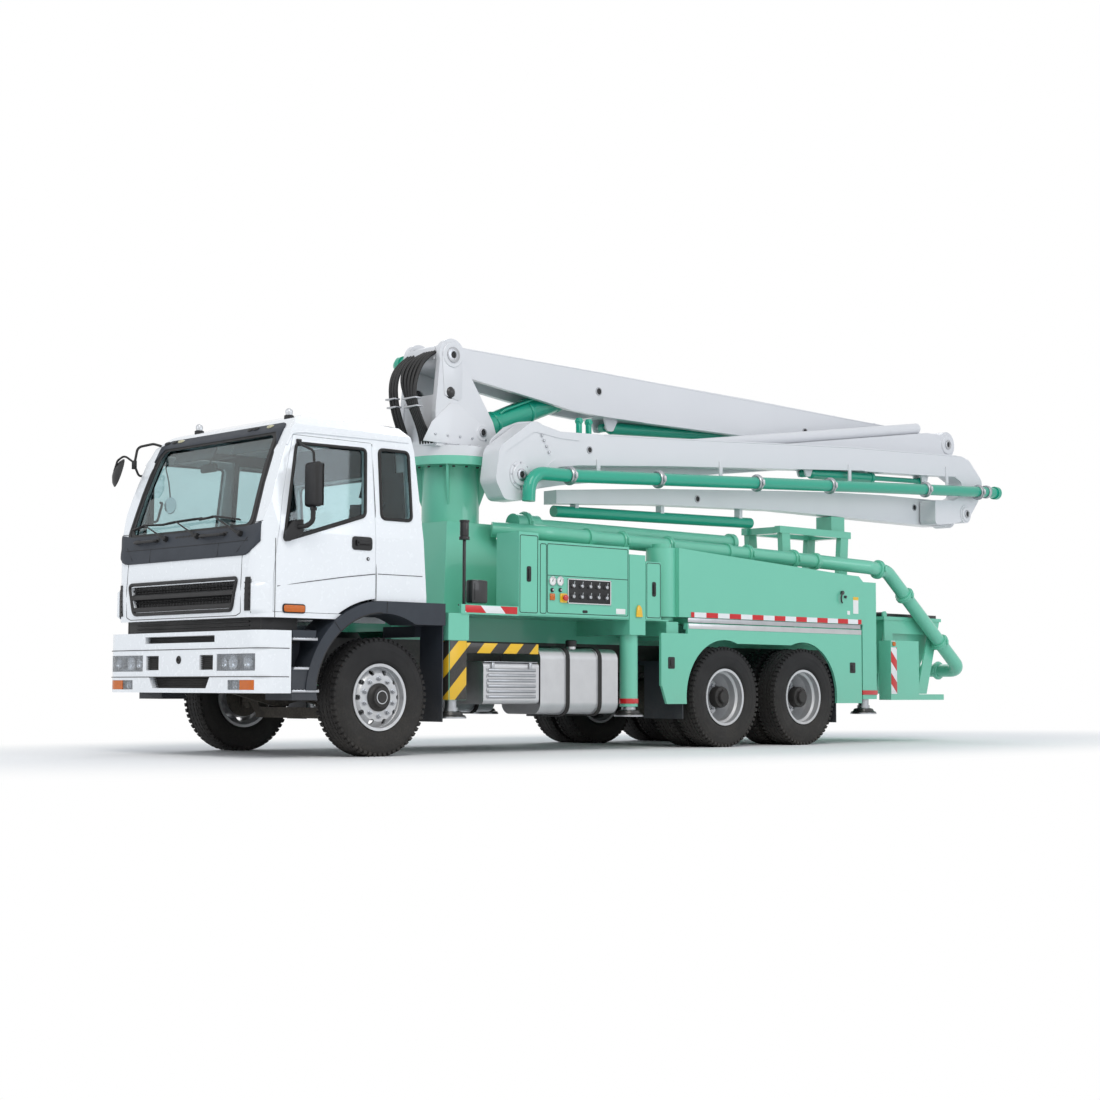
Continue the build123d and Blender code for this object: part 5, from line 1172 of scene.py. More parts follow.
def bumper_place(x, z, off=0.0):
    """A place on the bumper's face, off metres ahead of it."""
    past = min(max(abs(x) - 1.082, 0.0), 0.149)
    station = 0.15 - math.sqrt(0.15 ** 2 - past ** 2)
    lean = past / 0.15
    return at(x + math.copysign(off * lean, x), station - off * math.sqrt(1 - lean ** 2), z)


def make_bumper():
    """Liners behind the bumper's openings, its grooves and the tow eye's cover."""
    dark, lines = [], []
    dark.append(box((-0.555, 0.555), (0.052, 0.062), (1.003, 1.057), 0.001))
    dark += slats((-0.55, 0.55), (0.03, 0.055), 1.01, 0.013, 0.004, 4)
    for side in SIDES:
        dark.append(box((side * 0.333, side * 0.537), (0.032, 0.042), (0.763, 0.887), 0.001))
        dark += slats((side * 0.337, side * 0.533), (0.012, 0.038), 0.772, 0.017, 0.006, 7)
    dark.append(side_plate([(0.075, 0.60), (0.085, 0.60), (0.085, 0.70), (0.075, 0.70)], -0.49, 0.98, 0.001))
    for n in range(6):
        z = 0.612 + 0.016 * n
        dark.append(box((-0.44 - 0.03 * n / 3, 0.44 + 0.03 * n / 3), (0.045, 0.08), (z, z + 0.005), 0.001, 1))
    trim("bumper_inlets", dark)
    wide = 1.229
    for z in (0.942, 0.70):
        route = [at(-wide - 0.003, 0.31, z), at(-wide - 0.003, 0.0, z), at(wide + 0.003, 0.0, z),
                 at(wide + 0.003, 0.31, z)]
        lines.append(pipe([p + Vector((0, -0.001, 0)) for p in route], 0.0035, bend=0.15, sides=2))
    trim("bumper_grooves", lines)
    boss = turned([(0, 0), (0, 0.012), (0.008, 0.014), (0.012, 0.026), (0.004, 0.036), (-0.004, 0.036),
                   (-0.004, 0)], at(0, -0.001, 0.85), (0, -1, 0), 28)
    trim("tow_eye_cover", [boss])


HEADLAMP_X = (0.597, 1.149)
FOG_LAMP_X = (0.767, 1.143)


def make_lamps():
    """Front lamps with their housings and bowls, and the roof's beacons; they stand for lamps."""
    housings, bowls, clears, ambers = [], [], [], []
    for side in SIDES:
        for (low, high), (bottom, top), deep in ((HEADLAMP_X, (0.751, 0.895), 0.062),
                                                 (FOG_LAMP_X, (0.588, 0.671), 0.045)):
            across, up = steps_between(low, high, 14), steps_between(bottom, top, 2)
            sheet = skin(laid_on(bumper_place, across, steps_between(bottom, top, 4), -0.008, side), 0.005,
                         smooth=60)
            housings.append(skin(laid_on(bumper_place, across, up, -deep, side), 0.006))
            for z in (bottom + 0.003, top - 0.003):
                wall = [[bumper_place(side * x, z, off) for off in (-0.012, -deep)] for x in across]
                housings.append(skin(wall, 0.004))
            for x in (low + 0.003, high - 0.003):
                wall = [[bumper_place(side * x, z, off) for off in (-0.012, -deep)] for z in up]
                housings.append(skin(wall, 0.004))
            clears.append(sheet)
            if (low, high) == FOG_LAMP_X:  # its outer part is the turn signal
                split = laid_on(bumper_place, steps_between(0.945, high, 8), steps_between(bottom, top, 3),
                                -0.006, side)
                ambers.append(skin(split, 0.008, smooth=60))
        for x, z, size in ((0.82, 0.822, 0.066), (1.035, 0.822, 0.052), (0.69, 0.822, 0.045),
                           (0.86, 0.629, 0.036)):
            face = bumper_place(side * x, z, -0.052)
            axis = Vector((side * max(0.0, (x - 0.95) * 2.0), -1, 0)).normalized()
            bowl = [(0.026, size), (0.030, size), (0.026, size - 0.006), (0.012, size * 0.75),
                    (0.003, size * 0.4), (0.003, 0.012), (-0.008, 0.012), (-0.008, size * 0.6)]
            bowls.append(turned(bowl, face, axis, 32))
            bowls.append(turned([(0.0, 0), (0.024, 0.003), (0.028, 0.008), (0.020, 0.012), (-0.002, 0.012),
                                 (-0.002, 0)], face, axis, 16))
    finish_each((housings, STEEL), (bowls, CHROME), (clears, CLEAR_LENS), (ambers, AMBER_LENS))
    beacons = []
    for side in SIDES:
        foot = at(side * 0.72, 0.64, 3.018)
        beacons.append(turned([(-0.02, 0), (-0.02, 0.044), (0.006, 0.044), (0.012, 0.034), (0.012, 0)], foot,
                              (0, 0, 1), 28))
        beacons.append(turned([(0.01, 0), (0.01, 0.030), (0.045, 0.034), (0.060, 0.030), (0.072, 0.016),
                               (0.075, 0)], foot, (0, 0, 1), 28))
    finish_each((beacons[0::2], BLACK_PLASTIC), (beacons[1::2], SILVER_PAINT))
    fit("front_lamps", housings + bowls + clears + ambers + beacons, "chassis",
        replaces=["lamps"])


def make_steps():
    """Ribbed aluminium treads on the cab steps, the arch's joint line and its inner edge."""
    treads, lines = [], []
    for side in SIDES:
        for z, low, high in ((1.012, 0.345, 0.612), (0.760, 0.36, 0.60), (0.566, 0.345, 0.632)):
            treads.append(box((side * 1.06, side * 1.229), (low, high), (z, z + 0.022), 0.005))
            for n in range(8):
                s = low + 0.012 + (high - low - 0.03) * n / 7
                treads.append(box((side * 1.07, side * 1.231), (s, s + 0.012), (z + 0.02, z + 0.026), 0.001,
                                  1))
    fit("cab_step_treads", treads, "chassis", STEEL)
    for side in SIDES:
        for angle in (88, 130):
            turn = math.radians(angle)
            low, high = 0.75, 0.856
            lines.append(seam([at(side * 1.2325, FRONT_AXLE + math.cos(turn) * r, HUB_Z + math.sin(turn) * r)
                               for r in (low, high)], 0.003))
        edge = [at(side * 1.225, FRONT_AXLE + 0.752 * math.cos(math.radians(a)),
                   HUB_Z + 0.752 * math.sin(math.radians(a))) for a in range(92, 176, 6)]
        lines.append(pipe(edge, 0.009, bend=0.02, sides=3))
    trim("arch_joints", lines)


# ---- inside the cab ------------------------------------------------------------------------
def puffed(piece, voxel=0.014, pressure=4.0, cap=0.02):
    """A pad blown up like stuffed cloth: no point of its cover moves further than cap."""
    apply(piece, "REMESH", mode="VOXEL", voxel_size=voxel)
    before = [corner.co.copy() for corner in piece.data.vertices]
    take(piece)
    bpy.ops.object.modifier_add(type="CLOTH")
    cover = piece.modifiers[-1]
    cover.settings.quality = 4
    cover.settings.mass = 0.4
    cover.settings.tension_stiffness = 30
    cover.settings.compression_stiffness = 30
    cover.settings.bending_stiffness = 2.0
    cover.settings.use_pressure = True
    cover.settings.uniform_pressure_force = pressure
    cover.settings.effector_weights.gravity = 0
    cover.point_cache.frame_start, cover.point_cache.frame_end = 1, 20
    for frame_number in range(1, 21):
        bpy.context.scene.frame_set(frame_number)
    bpy.ops.object.modifier_apply(modifier=cover.name)
    for corner, place in zip(piece.data.vertices, before):
        step = corner.co - place
        if step.length > cap:
            corner.co = place + step.normalized() * cap
    bpy.context.scene.frame_set(1)
    apply(piece, "SMOOTH", factor=0.5, iterations=4)
    return soften(piece, 0, angle=180)


def pad_block(wide, points, waist=0.03, cells=9):
    """A pad's cover before it is stuffed, waisted between the four (station, z) corners of its side."""
    free_hands()
    bpy.ops.mesh.primitive_cube_add(size=1)
    piece = bpy.context.object
    with editing(piece):
        bpy.ops.mesh.subdivide(number_cuts=cells)
    first, second, third, fourth = [Vector(p) for p in points]  # low front, low back, high back, high front
    for corner in piece.data.vertices:
        across, along_it, up = (2 * value for value in corner.co)
        low, high = first.lerp(second, (along_it + 1) / 2), fourth.lerp(third, (along_it + 1) / 2)
        spot = low.lerp(high, (up + 1) / 2)
        middle = (first + second + third + fourth) / 4
        pull = waist * ((1 - across * across) * (abs(along_it) > 0.99 or abs(up) > 0.99)
                        + (abs(across) > 0.99) * (1 - up * up) * 0.6)
        spot = spot + (middle - spot).normalized() * pull * 0.35 if spot != middle else spot
        half = wide / 2 - waist * 0.5 * (1 - along_it * along_it) * (abs(across) > 0.99)
        corner.co = at(across * half, spot.x, spot.y)
    return soften(piece, 0)


def make_seats():
    """Two sprung seats: a pedestal, a padded cushion, a padded back and a padded headrest each."""
    cushion_side = ((0.905, 1.575), (1.385, 1.575), (1.385, 1.69), (0.905, 1.70))
    back_side = ((1.355, 1.70), (1.45, 1.70), (1.60, 2.325), (1.505, 2.325))
    rest_side = ((1.52, 2.355), (1.595, 2.355), (1.63, 2.505), (1.56, 2.505))
    cushion = puffed(pad_block(0.45, cushion_side))
    back = puffed(pad_block(0.43, back_side))
    rest = puffed(pad_block(0.23, rest_side, 0.015, 7), voxel=0.01, cap=0.012)
    for name, piece in (("cushion", cushion), ("back", back), ("headrest", rest)):
        finished(piece, SEAT)
    seams = []
    for s in (1.04, 1.22):
        seams.append(pipe([at(x, s, 1.709 + 0.012 * (1 - (x / 0.22) ** 2))
                           for x in steps_between(-0.20, 0.20, 8)], 0.004, bend=0.01, sides=2))
    for z, s in ((1.88, 1.392), (2.08, 1.440)):
        seams.append(pipe([at(x, s - 0.008 * (1 - (x / 0.2) ** 2), z)
                           for x in steps_between(-0.185, 0.185, 8)], 0.004, bend=0.01, sides=2))
    base = [box((-0.17, 0.17), (1.01, 1.33), (1.275, 1.33), 0.01),
            box((-0.15, 0.15), (1.03, 1.31), (1.33, 1.53), 0.02),
            box((-0.215, 0.215), (0.92, 1.38), (1.53, 1.572), 0.015)]
    for n in range(4):
        base.append(box((-0.158, 0.158), (1.022, 1.318), (1.35 + 0.045 * n, 1.365 + 0.045 * n), 0.006, 1))
    base.append(bar(at(-0.24, 1.40, 1.66), at(0.24, 1.40, 1.66), 0.022))
    for x in (-0.055, 0.055):
        base.append(bar(at(x, 1.545, 2.30), at(x, 1.575, 2.40), 0.007))
    for hand, side in HANDS:
        shift = Matrix.Translation((side * 0.7, 0, 0))
        for name, piece in (("cushion", cushion), ("back", back), ("headrest", rest)):
            pad = copy_of(piece, shift)
            pad.name = f"seat_{name}_{hand}"
            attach(pad, "chassis")
        trim(f"seat_seams_{hand}", [copy_of(p, shift) for p in seams], RUBBER)
        fit(f"seat_base_{hand}", [copy_of(p, shift) for p in base], "chassis", CABIN)
    for piece in (cushion, back, rest, *seams, *base):
        bpy.data.objects.remove(piece)


def make_dash():
    """The dash with its hood, centre stack and lower panel; it stands for cab_interior."""
    dash = [side_plate([(0.20, 1.70), (0.55, 1.74), (0.575, 1.89), (0.50, 1.955), (0.40, 1.99),
                        (0.215, 1.955)], -1.03, 2.06, 0.03)]
    dash.append(box((-0.42, 0.42), (0.26, 0.46), (1.272, 1.73), 0.02))
    dash.append(side_plate([(0.40, 1.95), (0.60, 1.95), (0.62, 2.00), (0.56, 2.055), (0.44, 2.06)], 0.32,
                           0.48, 0.025))
    dash.append(box((-0.16, 0.20), (0.54, 0.60), (1.72, 1.96), 0.02))
    for n in range(3):
        dash.append(box((-0.12, 0.16), (0.596, 0.606), (1.75 + 0.065 * n, 1.795 + 0.065 * n), 0.006, 1))
    dash.append(box((-0.95, -0.35), (0.53, 0.585), (1.76, 1.88), 0.02))
    fit("dash", dash, "chassis", CABIN, replaces=["cab_interior"])


def make_steering_wheel():
    """The wheel with its three spokes, boss, column and stalks."""
    middle = at(0.56, 0.715, 2.01)
    tilt = math.radians(-38)
    lean = Matrix.Rotation(tilt, 4, "X")
    free_hands()
    bpy.ops.mesh.primitive_torus_add(location=middle, rotation=(tilt, 0, 0), major_radius=0.212,
                                     minor_radius=0.015,
                                     major_segments=56, minor_segments=14)
    wheel = [settle(bpy.context.object)]
    for angle in (90, 205, 335):
        reach = lean @ Vector((0.205 * math.cos(math.radians(angle)), 0.205 * math.sin(math.radians(angle)),
                               0))
        wheel.append(bar(middle, middle + reach, 0.013, sides=12))
    wheel.append(turned([(-0.03, 0), (-0.03, 0.03), (-0.01, 0.058), (0.012, 0.062), (0.02, 0.045),
                         (0.022, 0)], middle, lean @ Vector((0, 0, 1)), 32))
    wheel.append(bar(at(0.56, 0.53, 1.82), at(0.56, 0.705, 1.998), 0.034))
    for x in (0.44, 0.68):
        wheel.append(bar(at(0.56, 0.64, 1.925), at(x, 0.655, 1.95), 0.008, sides=12))
    trim("steering_wheel", wheel)


def make_cab_fittings():
    """Gear lever, inner mirror, the far pillar's grab handle, and the round glass on its stalk."""
    levers = [bar(at(0.06, 0.86, 1.565), at(0.06, 0.80, 1.80), 0.010, sides=14),
              box((0.0, 0.12), (0.80, 0.92), (1.56, 1.60), 0.02)]
    levers.append(turned([(-0.02, 0), (-0.02, 0.02), (0.0, 0.028), (0.02, 0.022), (0.028, 0)],
                         at(0.06, 0.797, 1.815), (0, -0.25, 1), 20))
    mirror = round_outline([(-0.13, -0.04), (0.13, -0.04), (0.12, 0.04), (-0.12, 0.04)], 0.03)
    levers.append(plate([at(-0.13 + p.x, 0.36, 2.60 + p.y) for p in mirror], Vector((0, 0.022, 0)), 0.006))
    levers.append(bar(at(-0.13, 0.375, 2.63), at(-0.13, 0.40, 2.70), 0.008, sides=12))
    levers.append(pipe([at(-0.93, 0.42, 2.72), at(-0.90, 0.40, 2.66), at(-0.80, 0.37, 2.52),
                        at(-0.755, 0.36, 2.38)], 0.006, bend=0.08, sides=3))
    levers.append(pipe([at(-1.02, 0.36, 2.16), at(-0.985, 0.37, 2.17), at(-0.985, 0.42, 2.34),
                        at(-1.02, 0.42, 2.35)], 0.012, bend=0.03))
    trim("cab_levers", levers)
    disc = turned([(-0.004, 0), (-0.004, 0.075), (0.0, 0.08), (0.004, 0.075), (0.004, 0)],
                  at(-0.75, 0.36, 2.30), (0.2, -1, 0), 32)
    fit("screen_round_glass", [disc], "chassis", MIRROR)


def make_lining():
    """Roof lining, floor, engine cover, and the linings of the walls and pillars."""
    lining = [box((-0.86, 0.86), (0.62, 1.60), (2.955, 2.972), 0.006),
              box((-1.09, 1.09), (0.30, 1.76), (1.264, 1.276), 0.004),
              box((-0.447, 0.447), (0.436, 1.77), (1.276, 1.572), 0.02)]
    for (x_low, x_high), (low, high) in (((-1.03, 1.03), (1.28, 2.12)), ((-0.92, 0.92), (2.58, 2.90)),
                                         ((-1.02, -0.67), (2.12, 2.58)), ((0.67, 1.02), (2.12, 2.58))):
        lining.append(skin([[cab_back(x, z, -0.068) for x in steps_between(x_low, x_high, 2)]
                            for z in (low, high)], 0.01))
    for side in SIDES:
        for (first, last), (low, high) in (((1.275, 1.325), (1.30, 2.80)), ((1.325, 1.68), (1.30, 2.10)),
                                           ((1.325, 1.68), (2.77, 2.86)), ((0.45, 1.66), (2.80, 2.885))):
            lining.append(skin([[cab_cheek(s, z, -0.066, side) for s in (first, last)]
                                for z in (low, (low + high) / 2, high)], 0.006))
        lining.append(skin([[cab_nose(side * x, z, -0.072) for x in (0.985 - 0.05 * (z - 2) / 0.8,
                                                                     1.045 - 0.05 * (z - 2) / 0.8)]
                                                                     for z in (2.0, 2.4, 2.82)], 0.006))
        visor = [[cab_nose(side * x, z, -0.10) for x in steps_between(0.15, 0.80, 4)] for z in (2.70, 2.80)]
        lining.append(skin(visor, 0.016, 0.004))
    fit("cab_lining", lining, "chassis", CABIN)


# ---- body ----------------------------------------------------------------------------------
def on_side(points, x, thick=0.004, edge=0.001):
    """The same flat form on both sides of the truck, thick metres proud of x."""
    return both_sides([side_plate(points, x - 0.001, thick + 0.001, edge)])


def ring_on(centre, axis, radius, wide=0.05, deep=0.016):
    """A flat band round a pipe or pin."""
    half = wide / 2
    return turned([(-half, radius - 0.004), (-half, radius + deep * 0.7), (-half * 0.7, radius + deep),
                   (half * 0.7, radius + deep),
                   (half, radius + deep * 0.7), (half, radius - 0.004)], centre, axis, 40)


def coupling(centre, axis, radius):
    """A two-part pipe coupling with its two bolt lugs."""
    axis = Vector(axis).normalized()
    across = axis.cross(Vector((0, 0, 1))).normalized()
    parts = [ring_on(centre, axis, radius, 0.062, 0.026), ring_on(centre, axis, radius, 0.03, 0.033)]
    for hand in (-1, 1):
        spot = centre + across * hand * (radius + 0.036)
        parts.append(bar(spot - Vector((0, 0, 0.026)), spot + Vector((0, 0, 0.026)), 0.017, sides=12))
        parts.append(bar(spot - Vector((0, 0, 0.036)), spot + Vector((0, 0, 0.036)), 0.009, sides=6))
    return parts


def make_markings():
    """Warning tapes, hazard bands and blank plates."""
    tape = on_side(rectangle((5.36, 8.28), (1.298, 1.345)), SHEET_X, 0.0025)
    fit("side_tape_frames", tape, "chassis", STEEL)
    for hand, side in HANDS:
        strip = box((side * ARM_X, side * 1.2235), (5.40, 8.29), (1.352, 1.405), 0.001, 1)
        fit(f"arm_tape_{hand}", [strip], f"arm_{hand}", RED_WHITE)
        label = box((side * ARM_X, side * 1.2225), (8.14, 8.235), (1.47, 1.66), 0.001, 1)
        second = box((side * ARM_X, side * 1.2225), (8.03, 8.08), (1.455, 1.50), 0.001, 1)
        fit(f"arm_plates_{hand}", [label, second], f"arm_{hand}", PLATE_WHITE)
        cap = box((side * ARM_X, side * 1.2235), (8.14, 8.235), (1.625, 1.66), 0.001, 1)
        fit(f"arm_label_heads_{hand}", [cap], f"arm_{hand}", YELLOW)
        hook = [bar(at(side * 1.215, 7.93, 1.70), at(side * 1.245, 7.93, 1.70), 0.022),
                hose([at(side * 1.24, 7.93, 1.71), at(side * 1.255, 7.88, 1.68), at(side * 1.25, 7.87, 1.61),
                      at(side * 1.245, 7.91, 1.585)], 0.010),
                bar(at(side * 1.215, 7.99, 1.655), at(side * 1.24, 7.99, 1.655), 0.016)]
        fit(f"arm_hook_{hand}", hook, f"arm_{hand}", BLACK_PAINT)
    fit("side_rails", on_side(rectangle((5.36, 8.285), (1.232, 1.286)), SHEET_X, 0.012, 0.003), "chassis",
        TANK)
    fit("slanted_tapes", on_side([(2.30, 1.31), (2.95, 1.31), (2.95, 1.378), (2.30, 1.378)], CABINET_X,
                                 0.003), "chassis", RED_WHITE_SLANT)
    hazard = on_side(rectangle((2.129, 2.331), (0.502, 1.046)), 1.201, 0.004)
    hazard += both_sides([box((1.004, 1.196), (2.118, 2.1245), (0.502, 1.046), 0.001)])
    hazard += both_sides([box((1.14, 1.20), (2.337, 3.25), (0.935, 1.03), 0.004)])
    fit("hazard_bands", hazard, "chassis", HAZARD)
    chevron = on_side(rectangle((8.855, 8.965), (0.56, 1.10)), TAIL_X, 0.003)
    fit("rear_warning_strips", chevron, "chassis", RED_WHITE_FINE)
    amber = on_side(rectangle((8.88, 8.935), (1.115, 1.165), 0.024), TAIL_X, 0.014, 0.004)
    amber += both_sides([side_plate([(3.375, 1.46), (3.44, 1.46), (3.44, 1.525), (3.375, 1.525)], ARM_X,
                                    0.012, 0.01)])
    fit("side_markers", amber, "chassis", AMBER_LENS)
    plates = on_side(rectangle((4.29, 4.42), (1.352, 1.405)), CABINET_X, 0.003)
    plates += on_side(rectangle((8.86, 8.93), (1.168, 1.176)), TAIL_X, 0.003)
    fit("body_plates", plates, "chassis", PLATE_WHITE)


def make_controls():
    """Gauges, switches and the recessed valve board on the control cabinet."""
    x = CABINET_X
    rims, faces, dark, knobs, reds, yellows = [], [], [], [], [], []
    for side in SIDES:
        out = (side, 0, 0)
        for s, z in ((3.405, 1.645), (3.506, 1.648)):
            centre = at(side * x, s, z)
            rims.append(turned([(0, 0.036), (0, 0.046), (0.016, 0.046), (0.020, 0.040), (0.012, 0.036)],
                               centre, out, 32))
            faces.append(bar(centre, centre + Vector((side * 0.010, 0, 0)), 0.038, sides=32))
            dark.append(bar(centre + Vector((side * 0.010, 0, 0)), centre + Vector((side * 0.013, 0, 0)),
                            0.006, sides=12))
            dark.append(bar(centre + Vector((side * 0.012, 0, 0)),
                            centre + Vector((side * 0.012, 0.012, 0.024)), 0.0022, sides=6))
        for s, z in ((3.405, 1.558), (3.513, 1.562)):
            dark.append(bar(at(side * x, s, z), at(side * (x + 0.012), s, z), 0.020))
            knobs.append(bar(at(side * (x + 0.010), s, z), at(side * (x + 0.022), s, z), 0.010))
        yellows.append(side_plate(rectangle((3.51, 3.60), (1.44, 1.53), 0.012), side * x, side * 0.012,
                                  0.003))
        reds.append(turned([(0.01, 0), (0.01, 0.016), (0.03, 0.016), (0.034, 0.030), (0.046, 0.030),
                            (0.052, 0.018), (0.053, 0)],
                           at(side * x, 3.555, 1.487), out, 28))
        dark.append(side_plate(rectangle((3.62, 4.20), (1.442, 1.672), 0.012), side * (x - 0.001),
                               side * 0.004, 0.001))
        for frame_part in (((3.61, 4.21), (1.668, 1.680)), ((3.61, 4.21), (1.434, 1.446)),
                           ((3.61, 3.622), (1.436, 1.678)), ((4.198, 4.21), (1.436, 1.678))):
            rims.append(box((side * (x - 0.001), side * (x + 0.012)), *frame_part, 0.002, 1))
        for column in range(5):
            for row in range(2):
                s, z = 3.68 + 0.115 * column, 1.505 + 0.105 * row
                knobs.append(bar(at(side * (x + 0.002), s, z), at(side * (x + 0.03), s, z), 0.022, sides=20,
                                 cone=0.017))
                knobs.append(bar(at(side * (x + 0.02), s, z), at(side * (x + 0.045), s - 0.01, z + 0.04),
                                 0.006, sides=8))
        dark.append(side_plate(rectangle((3.82, 3.89), (1.348, 1.376), 0.013), side * (x - 0.001),
                               side * 0.003, 0.001))
        yellows.append(side_plate([(4.57, 1.33), (4.66, 1.33), (4.645, 1.42), (4.62, 1.45), (4.60, 1.45),
                                   (4.58, 1.42)], side * x, side * 0.02, 0.006))
    finish_each((rims, CHROME), (faces, PLATE_WHITE), (dark, BLACK_PLASTIC), (knobs, STEEL), (reds, RED),
                (yellows, YELLOW))
    fit("cabinet_controls", rims + faces + dark + knobs + reds + yellows, "chassis")


def make_body_seams():
    """Seams round the body's doors and panels, with their latches."""
    lines, handles = [], []
    for side in SIDES:
        for low, high, bottom, top in ((3.25, 3.33, 1.33, 2.0), (3.345, 4.46, 1.335, 2.005),
                                       (2.985, 3.215, 1.33, 2.07), (4.735, 4.935, 1.33, 1.885)):
            ring = [at(side * CABINET_X, p.x, p.y)
                    for p in round_outline([(low, bottom), (high, bottom), (high, top), (low, top)], 0.02, 3)]
            lines.append(seal(ring, 0.0035, sides=1))
        lines.append(seam([at(side * CABINET_X, 3.35, 1.70), at(side * CABINET_X, 4.455, 1.70)], 0.003))
        for s, z in ((3.10, 1.70), (4.84, 1.62)):
            handles.append(side_plate(rectangle((s - 0.028, s + 0.028), (z - 0.075, z + 0.075), 0.02),
                                      side * ARM_X, side * 0.006, 0.002))
            handles.append(box((side * 1.222, side * 1.236), (s - 0.012, s + 0.012), (z - 0.05, z + 0.05),
                               0.004))
        for s, z in ((5.10, 0.875), (8.12, 0.855)):
            handles.append(side_plate(rectangle((s - 0.05, s + 0.05), (z - 0.06, z + 0.06), 0.015),
                                      side * ARM_X, side * 0.004, 0.001))
            handles.append(box((side * 1.222, side * 1.232), (s - 0.02, s + 0.025), (z - 0.03, z + 0.03),
                               0.006))
    trim("body_seams", lines)
    trim("body_latches", handles)


def make_underside():
    """Tank straps and cap, the battery box's lid and ribs, red jack bands, and foot pads."""
    straps, caps = [], []
    ring = filled_in(round_outline([(0.628, 0.349), (1.202, 0.349), (1.202, 1.012), (0.628, 1.012)], 0.125,
                                   5), 0.3)
    for station in (3.64, 4.08):
        for step in (-0.016, 0.0, 0.016):
            straps.append(seal([at(p.x, station + step, p.y) for p in ring], 0.0095, sides=2))
    straps.append(turned([(-0.02, 0), (-0.02, 0.055), (0.035, 0.056), (0.045, 0.045), (0.046, 0)],
                         at(1.06, 3.82, 1.04), (0, 0, 1), 28))
    trim("tank_straps", both_sides(straps))
    for s in (2.66, 3.14):
        caps.append(box((1.195, 1.212), (s - 0.018, s + 0.018), (0.79, 0.85), 0.004))
    caps += [bar(at(1.196, 2.60, 0.53 + 0.05 * n), at(1.196, 3.21, 0.53 + 0.05 * n), 0.017, edge=0.004,
                 sides=16) for n in range(6)]
    caps.append(box((0.66, 1.19), (2.562, 3.248), (0.853, 0.860), 0.002))
    fit("battery_box_lid", both_sides(caps), "chassis", STEEL)
    band = ring_on(at(1.095, 4.6, 0.485), (0, 0, 1), 0.094, 0.05, 0.006)
    fit("middle_jack_bands", both_sides(band), "chassis", RED)
    for hand, side in HANDS:
        red = box((side * 0.978, side * SHEET_X), (8.3225, 8.5975), (0.55, 0.60), 0.002)
        fit(f"rear_jack_band_{hand}", [red], f"arm_{hand}", RED)
        for name, station in (("front", 2.23), ("middle", 4.6), ("rear", 8.48)):
            low = at(side * 1.095, station, 0.334)
            foot = turned([(0.0, 0.02), (0.0, 0.142), (0.010, 0.146), (0.022, 0.142), (0.030, 0.120),
                           (0.055, 0.108), (0.062, 0.086), (0.062, 0.02)], low, (0, 0, 1), 40)
            trim(f"foot_pad_{name}_{hand}", [foot], BLACK_PAINT, body=f"foot_{name}_{hand}")


def make_pipework():
    """Couplings on the deck's lines, and small hydraulic pipes."""
    parts = []
    for station, z in ((7.7, 2.094), (6.9, 2.107), (5.6, 2.128), (4.9, 2.14)):
        parts += coupling(at(0.70, station, z), (0, 1, -0.016), 0.078)
    for centre, axis, radius in ((at(0.95, 8.97, 2.023), (0, 1, -0.1), 0.08),
                                 (at(0.95, 9.5, 1.734), (0, 0.79, -0.613), 0.08),
                                 (at(0.95, 10.2, 1.191), (0, 0.79, -0.613), 0.08),
                                 (at(0.62, 10.64, 0.85), (1, 0, 0), 0.08),
                                 (at(0.48, 3.72, 2.252), (0, 1, 0), 0.104)):
        parts += coupling(centre, axis, radius)
    fit("deck_line_couplings", parts, "chassis", MINT)
    small = []
    for n in range(3):
        route = [at(0.30 + 0.05 * n, s, z) for s, z in ((3.7, 1.34), (3.75, 1.9), (6.5, 1.86), (6.55, 1.5))]
        small.append(pipe(route, 0.015, bend=0.1, sides=3))
    fit("deck_hydraulic_pipes", small, "chassis", STEEL)


def make_deck_fittings():
    """Work lamps, the slewing ring's bolts and the tail lamps."""
    post = [bar(at(1.13, 2.36, 1.36), at(1.13, 2.36, 1.99), 0.016),
            box((1.09, 1.17), (2.32, 2.40), (1.375, 1.39), 0.003)]
    post += [bar(at(1.13, 2.36, 1.99), at(1.13, 2.36, 2.02), 0.05),
             bar(at(1.13, 2.36, 2.02), at(1.13, 2.36, 2.16), 0.042, edge=0.01),
             bar(at(1.13, 2.36, 2.155), at(1.13, 2.36, 2.175), 0.047)]
    post += [box((1.10, 1.20), (2.40, 2.60), (1.40, 1.62), 0.02),
             box((1.20, 1.205), (2.43, 2.57), (1.43, 1.59), 0.002)]
    fit("deck_work_lamp", both_sides(post), "chassis", BLACK_PAINT)
    heads = []
    for n in range(20):
        turn = 2 * math.pi * n / 20
        heads += bolts([at(0.41 * math.sin(turn), SLEW + 0.41 * math.cos(turn), 2.815 - 0.012)], (0, 0, -1),
                       0.016, 0.016)
    fit("slewing_ring_bolts", heads, "chassis", BLACK_PAINT)
    back = [box((side * 0.50, side * 0.80), (10.362, 10.40), (1.10, 1.20), 0.012) for side in SIDES]
    trim("rear_lamp_cases", back)
    fit("rear_lamps", [box((side * low, side * high), (10.398, 10.408), (1.115, 1.185), 0.004)
                       for side in SIDES for low, high in ((0.51, 0.60), (0.70, 0.79))],
        "chassis", RED_LENS)


